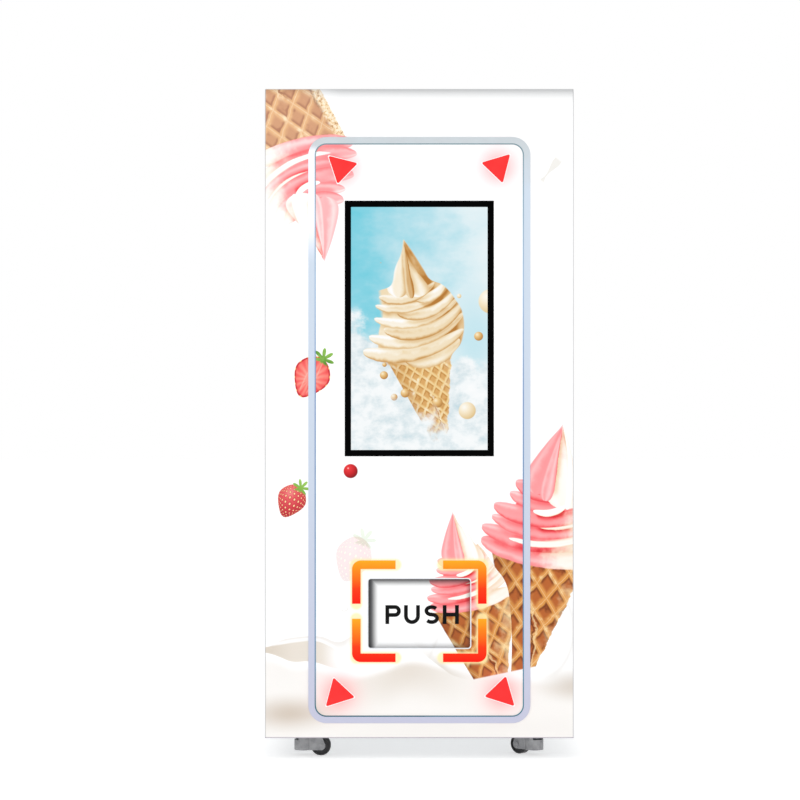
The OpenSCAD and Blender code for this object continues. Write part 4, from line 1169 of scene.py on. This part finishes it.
# Left and right edges of the four letters.
LETTER_SIDES = ((-0.0834, -0.0465), (-0.0375, 0.0015), (0.0128, 0.0485), (0.0580, 0.0975))
ARROW_CORNER, ARROW_GROWTH, BORDER_GROWTH = 0.0032, 1.13, 1.22
BRACKET_BEND = 0.011


def bracket(shape, side_x, side_z):
    """One corner of the bracket, mirrored by side_x and side_z."""
    (half_x, half_z), (from_x, from_z), bend = BRACKET["half"], BRACKET["arm_from"], BRACKET_BEND
    turn = arc((half_x - bend, half_z - bend), (bend, bend), 90, 0)
    path = [(from_x, half_z)] + turn + [(half_x, from_z)]
    x, z = BRACKET["middle"]
    path = [(x + side_x * a, z + side_z * b) for a, b in path]
    ribbon(shape, path, BRACKET["stroke"], PANEL_FRONT, PANEL_FRONT - FILM)


def letter_paths():
    """Centre lines of the strokes of the four letters, from left to right."""
    foot, top, stroke = LETTER["foot"], LETTER["top"], LETTER["stroke"]
    edge, middle_z = stroke / 2, (foot + top) / 2
    p_sides, u_sides, s_sides, h_sides = ((left + edge, right - edge) for left, right in LETTER_SIDES)
    bowl = 0.0098
    turn = (p_sides[0] + 0.0235 - edge, top - edge - bowl)
    stem = p_sides[0]
    paths = [[(stem, foot), (stem, top)]]
    paths.append([(stem, top - edge)] + arc(turn, (bowl, bowl), 90, -90) + [(stem, turn[1] - bowl)])
    half = (u_sides[1] - u_sides[0]) / 2
    turn = arc((sum(u_sides) / 2, foot + edge + half), (half, half), 180, 360)
    paths.append([(u_sides[0], top)] + turn + [(u_sides[1], top)])
    half, lobe = (s_sides[1] - s_sides[0]) / 2, (top - foot - stroke) / 4
    upper = arc((sum(s_sides) / 2, top - edge - lobe), (half, lobe), 35, 270)
    lower = arc((sum(s_sides) / 2, foot + edge + lobe), (half, lobe), 90, -145)
    paths.append(upper + lower[1:])
    paths += [[(x, foot), (x, top)] for x in h_sides]
    return paths + [[(x, middle_z) for x in h_sides]]


def letters(shape):
    """The word on the flap. Strokes that cross lie a hair apart, so their faces never share a plane."""
    for i, path in enumerate(letter_paths()):
        ribbon(shape, path, LETTER["stroke"], FLAP_FRONT, FLAP_FRONT - FILM - i * 0.00002)


def arrow(shape, corners, grow, height):
    """A rounded triangle, grown outwards from its middle."""
    x, z = middle_of(corners)
    outline = [(x + (a - x) * grow, z + (b - z) * grow) for a, b in corners]
    plate(shape, rounded(outline, ARROW_CORNER), PANEL_FRONT, PANEL_FRONT - height)


def ring_bead(shape):
    """A thin bright bead round the inner edge of the light ring."""
    low_edge, high_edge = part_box("light_ring")
    band, bend, width, height = 0.0155, 0.0275, 0.0027, 0.0010
    inset = band + width / 2 + bend
    sides = (low_edge.x + inset, high_edge.x - inset), (low_edge.z + inset, high_edge.z - inset)
    path = []
    for start, (right, top) in zip((0, 90, 180, 270), ((1, 1), (0, 1), (0, 0), (1, 0))):
        path += arc((sides[0][right], sides[1][top]), (bend, bend), start, start + 90, 8)
    ribbon(shape, path, width, PANEL_FRONT, PANEL_FRONT - height, closed=True)


BRACKET_FILM = bracket_film("bracket_film_finish")
RED_FILM = sign_film("red_film_finish", "#FB2F30", "#FF3A39")
WHITE_FILM = sign_film("white_film_finish", "#FBF3F2", "#FFFBFA")
BLACK_FILM = sign_film("black_film_finish", "#020202", "#0A0A0A")
for side_word, side_x in (("left", -1), ("right", 1)):
    for level_word, side_z in (("top", 1), ("low", -1)):
        piece(f"bracket_{level_word}_{side_word}", "door", "printed_face",
              lambda shape, a=side_x, b=side_z: bracket(shape, a, b), BRACKET_FILM)
for arrow_name, arrow_corners in ARROWS.items():
    piece(arrow_name + "_border", "door", "printed_face",
          lambda shape, c=arrow_corners: arrow(shape, c, BORDER_GROWTH, FILM), WHITE_FILM)
    piece(arrow_name, "door", "printed_face",
          lambda shape, c=arrow_corners: arrow(shape, c, ARROW_GROWTH, 2 * FILM), RED_FILM)
piece("push_letters", "flap", "printed_face", letters, BLACK_FILM)
piece("ring_bead", "door", "light_band", ring_bead, bead_finish("bead_finish"))


# ---------------------------------------------------------------- small hardware

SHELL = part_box("compressor")
SHELL_TOP = Vector(((SHELL[0].x + SHELL[1].x) / 2, (SHELL[0].y + SHELL[1].y) / 2, SHELL[1].z))
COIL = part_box("condenser")
BARREL_Z = sum(corner.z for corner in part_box("freezing_barrel")) / 2
# Pipes and cables run upright behind the machine deck, just in front of the rear panel.
DUCT_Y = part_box("rear_panel")[0].y - 0.015


def panel_screws(shape):
    """Screws along the edges of the side panels and round the rear panel."""
    inset, end_gap = 0.014, 0.06
    for node, way in (("left_side_panel", -1), ("right_side_panel", 1)):
        low_edge, high_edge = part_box(node)
        x = low_edge.x if way < 0 else high_edge.x
        for y in (low_edge.y + inset, high_edge.y - inset):
            for z in steps_between(low_edge.z + end_gap, high_edge.z - end_gap, 6):
                screw_head(shape, (x, y, z), (way, 0, 0))
    low_edge, high_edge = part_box("rear_panel")
    side_inset, end_gap, top_x = 0.012, 0.04, 0.12
    places = [(x, z) for x in (low_edge.x + side_inset, high_edge.x - side_inset)
              for z in steps_between(low_edge.z + end_gap, high_edge.z - end_gap, 7)]
    for x, z in places + [(-top_x, high_edge.z - inset), (top_x, high_edge.z - inset)]:
        screw_head(shape, (x, high_edge.y, z), Y_AXIS)


def head_knobs(shape):
    """Four hand nuts that hold the dispensing head, each with five lobes."""
    low_edge, high_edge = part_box("dispensing_head")
    out, knob_radius, lobe_swell = high_edge.x - 0.012, 0.0145, 0.13
    stud = ((0.0045, -0.058), (0.0045, 0.026), (0.0030, 0.028))
    # Depth of each ring of the knob, and its share of the full radius.
    knob = ((0.001, 0.92), (0.003, 1.0), (0.013, 1.0), (0.016, 0.90))
    for side_x in (-1, 1):
        for side_z in (-1, 1):
            middle = Vector((side_x * out, low_edge.y, BARREL_Z + side_z * out))
            lathe(shape, stud, middle, -Y_AXIS)
            loops = [hoop(middle - Y_AXIS * depth, X_AXIS, Z_AXIS, knob_radius * share, 40, lobe_swell)
                     for depth, share in knob]
            skin_loops(shape, loops)


def condenser_fins(shape):
    """Thin upright plates pressed over the condenser's tubes."""
    (low_x, low_y, low_z), (high_x, high_y, high_z) = COIL
    pitch, thick, foot = 0.0040, 0.0004, low_z + 0.018
    for i in range(int((high_x - low_x - 0.012) / pitch)):
        x = low_x + 0.007 + i * pitch
        block(shape, (x, x + thick), (low_y + 0.005, high_y - 0.001), (foot, high_z - 0.003))


def refrigerant_lines(shape):
    """Discharge, liquid and suction pipes between compressor, condenser and barrel."""
    x, y, top = SHELL_TOP
    end_x, end_z = COIL[0].x, COIL[1].z
    tube(shape, ((x + 0.05, y + 0.05, top - 0.05), (x + 0.10, y + 0.09, top - 0.02),
                 (x + 0.14, 0.34, end_z - 0.06), (end_x - 0.010, 0.362, end_z - 0.03),
                 (end_x + 0.004, 0.363, end_z - 0.03)), 0.0040)
    tube(shape, ((end_x + 0.004, 0.363, 0.150), (end_x - 0.030, 0.366, 0.155), (-0.085, DUCT_Y, 0.21),
                 (-0.090, DUCT_Y, 0.32), (-0.090, DUCT_Y, 0.60), (-0.100, 0.34, 0.640),
                 (-0.100, 0.232, 0.645)), 0.0032)
    tube(shape, ((x, y + 0.06, top - 0.07), (x, y + 0.12, top - 0.04), (-0.165, DUCT_Y, 0.42),
                 (-0.150, DUCT_Y, 0.60), (-0.125, 0.33, 0.715), (-0.102, 0.232, 0.720)), 0.0055)


def filter_drier(shape):
    """The swelling in the liquid line."""
    half = ((0.0034, 0.0), (0.006, 0.006), (0.013, 0.016), (0.014, 0.022))
    length = 0.107
    profile = half + tuple((radius, length - far) for radius, far in reversed(half))
    lathe(shape, profile, (-0.090, DUCT_Y, 0.400), Z_AXIS)


def motor_ribs(shape):
    """Cooling ribs round the motor behind the gearbox, and its terminal box."""
    end, first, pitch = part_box("gear_motor")[1].y, 0.070, 0.0085
    rib = ((0.055, 0.0), (0.0600, 0.0004), (0.0600, 0.0026), (0.055, 0.0030))
    for i in range(8):
        lathe(shape, rib, (0, end - first + i * pitch, BARREL_Z), Y_AXIS, 48)
    block(shape, (-0.030, 0.030), (end - 0.060, end - 0.014), (BARREL_Z + 0.052, BARREL_Z + 0.082))


def cup_stack(shape):
    """Paper cups nested in the magazine; their rolled rims show at its open top."""
    low_edge, high_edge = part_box("cup_magazine")
    from_right, below_top = 0.068, 0.020
    x, y, top = high_edge.x - from_right, (low_edge.y + high_edge.y) / 2, high_edge.z - below_top
    wall, pitch, rim, depth = 0.0006, 0.0085, 0.0425, 0.085
    neck, foot = rim - 0.0022, rim - 0.0110
    roll = ((-0.0030, 0.0), (0.0004, 0.0008), (0.0010, 0.0022), (0.0002, 0.0036), (-0.0012, 0.0034),
            (-0.0020, 0.0))
    for i in range(12):
        lathe(shape, [(rim + out, far) for out, far in roll], (x, y, top - i * pitch), Z_AXIS, 40)
    cup = ((neck, 0.002), (foot, -depth), (0.001, -depth), (0.001, -depth - 0.001),
           (foot - wall, -depth - 0.001), (neck - wall, 0.001))
    lathe(shape, cup, (x, y, top), Z_AXIS, 40)


def control_cover(shape):
    """Screwed cover and vent louvres on the control box's inner face."""
    (x, low_y, low_z), (_, high_y, high_z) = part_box("control_box")
    sheet = 0.002
    block(shape, (x - sheet, x), (low_y + 0.010, high_y - 0.010), (low_z + 0.012, high_z - 0.012))
    for i in range(9):
        z = high_z - 0.060 - i * 0.011
        block(shape, (x - 0.0045, x - sheet), (low_y + 0.060, high_y - 0.060), (z, z + 0.004))
    for y in (low_y + 0.02, high_y - 0.02):
        for z in (low_z + 0.022, high_z - 0.022):
            screw_head(shape, (x - sheet, y, z), -X_AXIS)


def wiring(shape):
    """Cables from glands under the control box to the motor, the fan and the compressor."""
    bottom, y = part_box("control_box")[0].z, 0.150
    gland = ((0.0085, 0.0), (0.0085, 0.006), (0.0060, 0.014), (0.0045, 0.015))
    cables = (
        (0.300, 0.0042, ((0, y, -0.06), (-0.02, 0.30, -0.16)),
         ((0.16, 0.345, 0.90), (0.030, 0.335, 0.82), (0.020, 0.330, 0.760))),
        (0.322, 0.0034, ((0, y, -0.08),),
         ((0.335, DUCT_Y, 0.90), (0.335, DUCT_Y, 0.60), (0.312, 0.300, 0.50), (0.170, 0.245, 0.400),
          (0.140, 0.250, 0.335))),
        (0.344, 0.0040, ((0, y, -0.10),),
         ((0.325, DUCT_Y, 0.88), (0.325, DUCT_Y, 0.58), (0.28, 0.300, 0.500), (0.05, 0.200, 0.500),
          (-0.06, 0.190, 0.36), (-0.100, 0.190, 0.245))),
    )
    for x, radius, drops, route in cables:
        lathe(shape, gland, (x, y, bottom), -Z_AXIS, 12)
        start = [(x, y, bottom + 0.01)] + [(x + dx, at_y, bottom + dz) for dx, at_y, dz in drops]
        tube(shape, (*start, *route), radius)


def inlet_blades(shape):
    """Three blades in the power inlet."""
    low_edge, high_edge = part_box("power_inlet")
    (x, _, z), end = (low_edge + high_edge) / 2, high_edge.y
    half_x, half_z = 0.001, 0.003
    for dx, dz in ((0.0, 0.005), (-0.009, -0.004), (0.009, -0.004)):
        block(shape, (x + dx - half_x, x + dx + half_x), (end - 0.024, end - 0.006),
              (z + dz - half_z, z + dz + half_z))


def lid_grip(shape):
    """Grip ridges along the lid's handle, which is the lid's highest part."""
    low_edge, high_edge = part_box("hopper_lid")
    y_ends = low_edge.y + 0.0535, low_edge.y + 0.0745
    z_ends = high_edge.z - 0.0100, high_edge.z + 0.0005
    reach_out, half_width = 0.050, 0.0018
    for x in steps_between(-reach_out, reach_out, 9):
        block(shape, (x - half_width, x + half_width), y_ends, z_ends)


HARDWARE = (
    (panel_screws, "cabinet", "bright_metal", 0.0),
    (head_knobs, "cabinet", "black_plastic", 0.0),
    (condenser_fins, "cabinet", "stainless", 0.0),
    (refrigerant_lines, "cabinet", "copper", 0.0),
    (filter_drier, "cabinet", "copper", 0.0),
    (motor_ribs, "cabinet", "motor_paint", 0.0003),
    (cup_stack, "cabinet", "food_plastic", 0.0),
    (control_cover, "cabinet", "galvanised", 0.0004),
    (wiring, "cabinet", "black_plastic", 0.0),
    (inlet_blades, "cabinet", "bright_metal", 0.0003),
    (lid_grip, "hopper_lid", "stainless", 0.0006),
)
for build, body, slot_name, rounding in HARDWARE:
    piece(build.__name__, body, slot_name, build, rounding=rounding)


# ---------------------------------------------------------------- floor, light and camera


def studio():
    """Pale lit floor, white surroundings and two soft lamps."""
    world = bpy.data.worlds.new("surroundings")
    bpy.context.scene.world = world
    world.use_nodes = True
    tree = world.node_tree
    tree.nodes.clear()
    out = tree.nodes.new("ShaderNodeOutputWorld")
    seen = tree.nodes.new("ShaderNodeBackground")
    lights = tree.nodes.new("ShaderNodeBackground")
    rays = tree.nodes.new("ShaderNodeLightPath")
    pick = tree.nodes.new("ShaderNodeMixShader")
    lights.inputs["Color"].default_value = (0.97, 0.985, 1.0, 1.0)
    lights.inputs["Strength"].default_value = 0.62
    seen.inputs["Color"].default_value = (1.0, 1.0, 1.0, 1.0)
    seen.inputs["Strength"].default_value = 1.0
    tree.links.new(rays.outputs["Is Camera Ray"], pick.inputs[0])
    tree.links.new(lights.outputs[0], pick.inputs[1])
    tree.links.new(seen.outputs[0], pick.inputs[2])
    tree.links.new(pick.outputs[0], out.inputs["Surface"])

    mesh = bpy.data.meshes.new("floor")
    half = 30.0
    corners = [(-half, -half, 0), (half, -half, 0), (half, half, 0), (-half, half, 0)]
    mesh.from_pydata(corners, [], [(0, 1, 2, 3)])
    floor = bpy.data.objects.new("floor", mesh)
    bpy.context.scene.collection.objects.link(floor)
    skin = Skin("floor_finish")
    tone = ramp(noise(skin.place, 3.0, 2.0), (0.0, "#DADADA"), (1.0, "#DEDEDE"))
    skin.set(base_color=tone, roughness=0.75, emission_color=(1.0, 1.0, 1.0, 1.0))
    skin.set(emission_strength=0.58, specular_ior_level=0.0)
    mesh.materials.append(skin.material)

    lamp("key", (-2.6, -4.6, 3.4), (3.0, 3.0), 78.0)
    lamp("fill", (3.4, -4.2, 2.2), (3.0, 3.0), 34.0)


def lamp(name, place, size, power):
    """A soft box that looks at the middle of the machine."""
    light = bpy.data.lights.new(name, "AREA")
    light.shape = "RECTANGLE"
    light.size, light.size_y = size
    light.energy = power
    holder = bpy.data.objects.new(name, light)
    bpy.context.scene.collection.objects.link(holder)
    holder.location = place
    aim = (cad_low + cad_high) / 2 - Vector(place)
    holder.rotation_mode = "QUATERNION"
    holder.rotation_quaternion = aim.to_track_quat("-Z", "Y")


def camera():
    """Level camera in front of the door, as high as the middle of the machine."""
    data = bpy.data.cameras.new("camera")
    data.sensor_width = 36.0
    data.lens = 109.7
    holder = bpy.data.objects.new("camera", data)
    bpy.context.scene.collection.objects.link(holder)
    holder.location = (-0.0475, -6.408, 0.892)
    holder.rotation_euler = (math.pi / 2, 0.0, 0.0)
    bpy.context.scene.camera = holder


studio()
camera()
bpy.context.scene.view_settings.view_transform = "Standard"
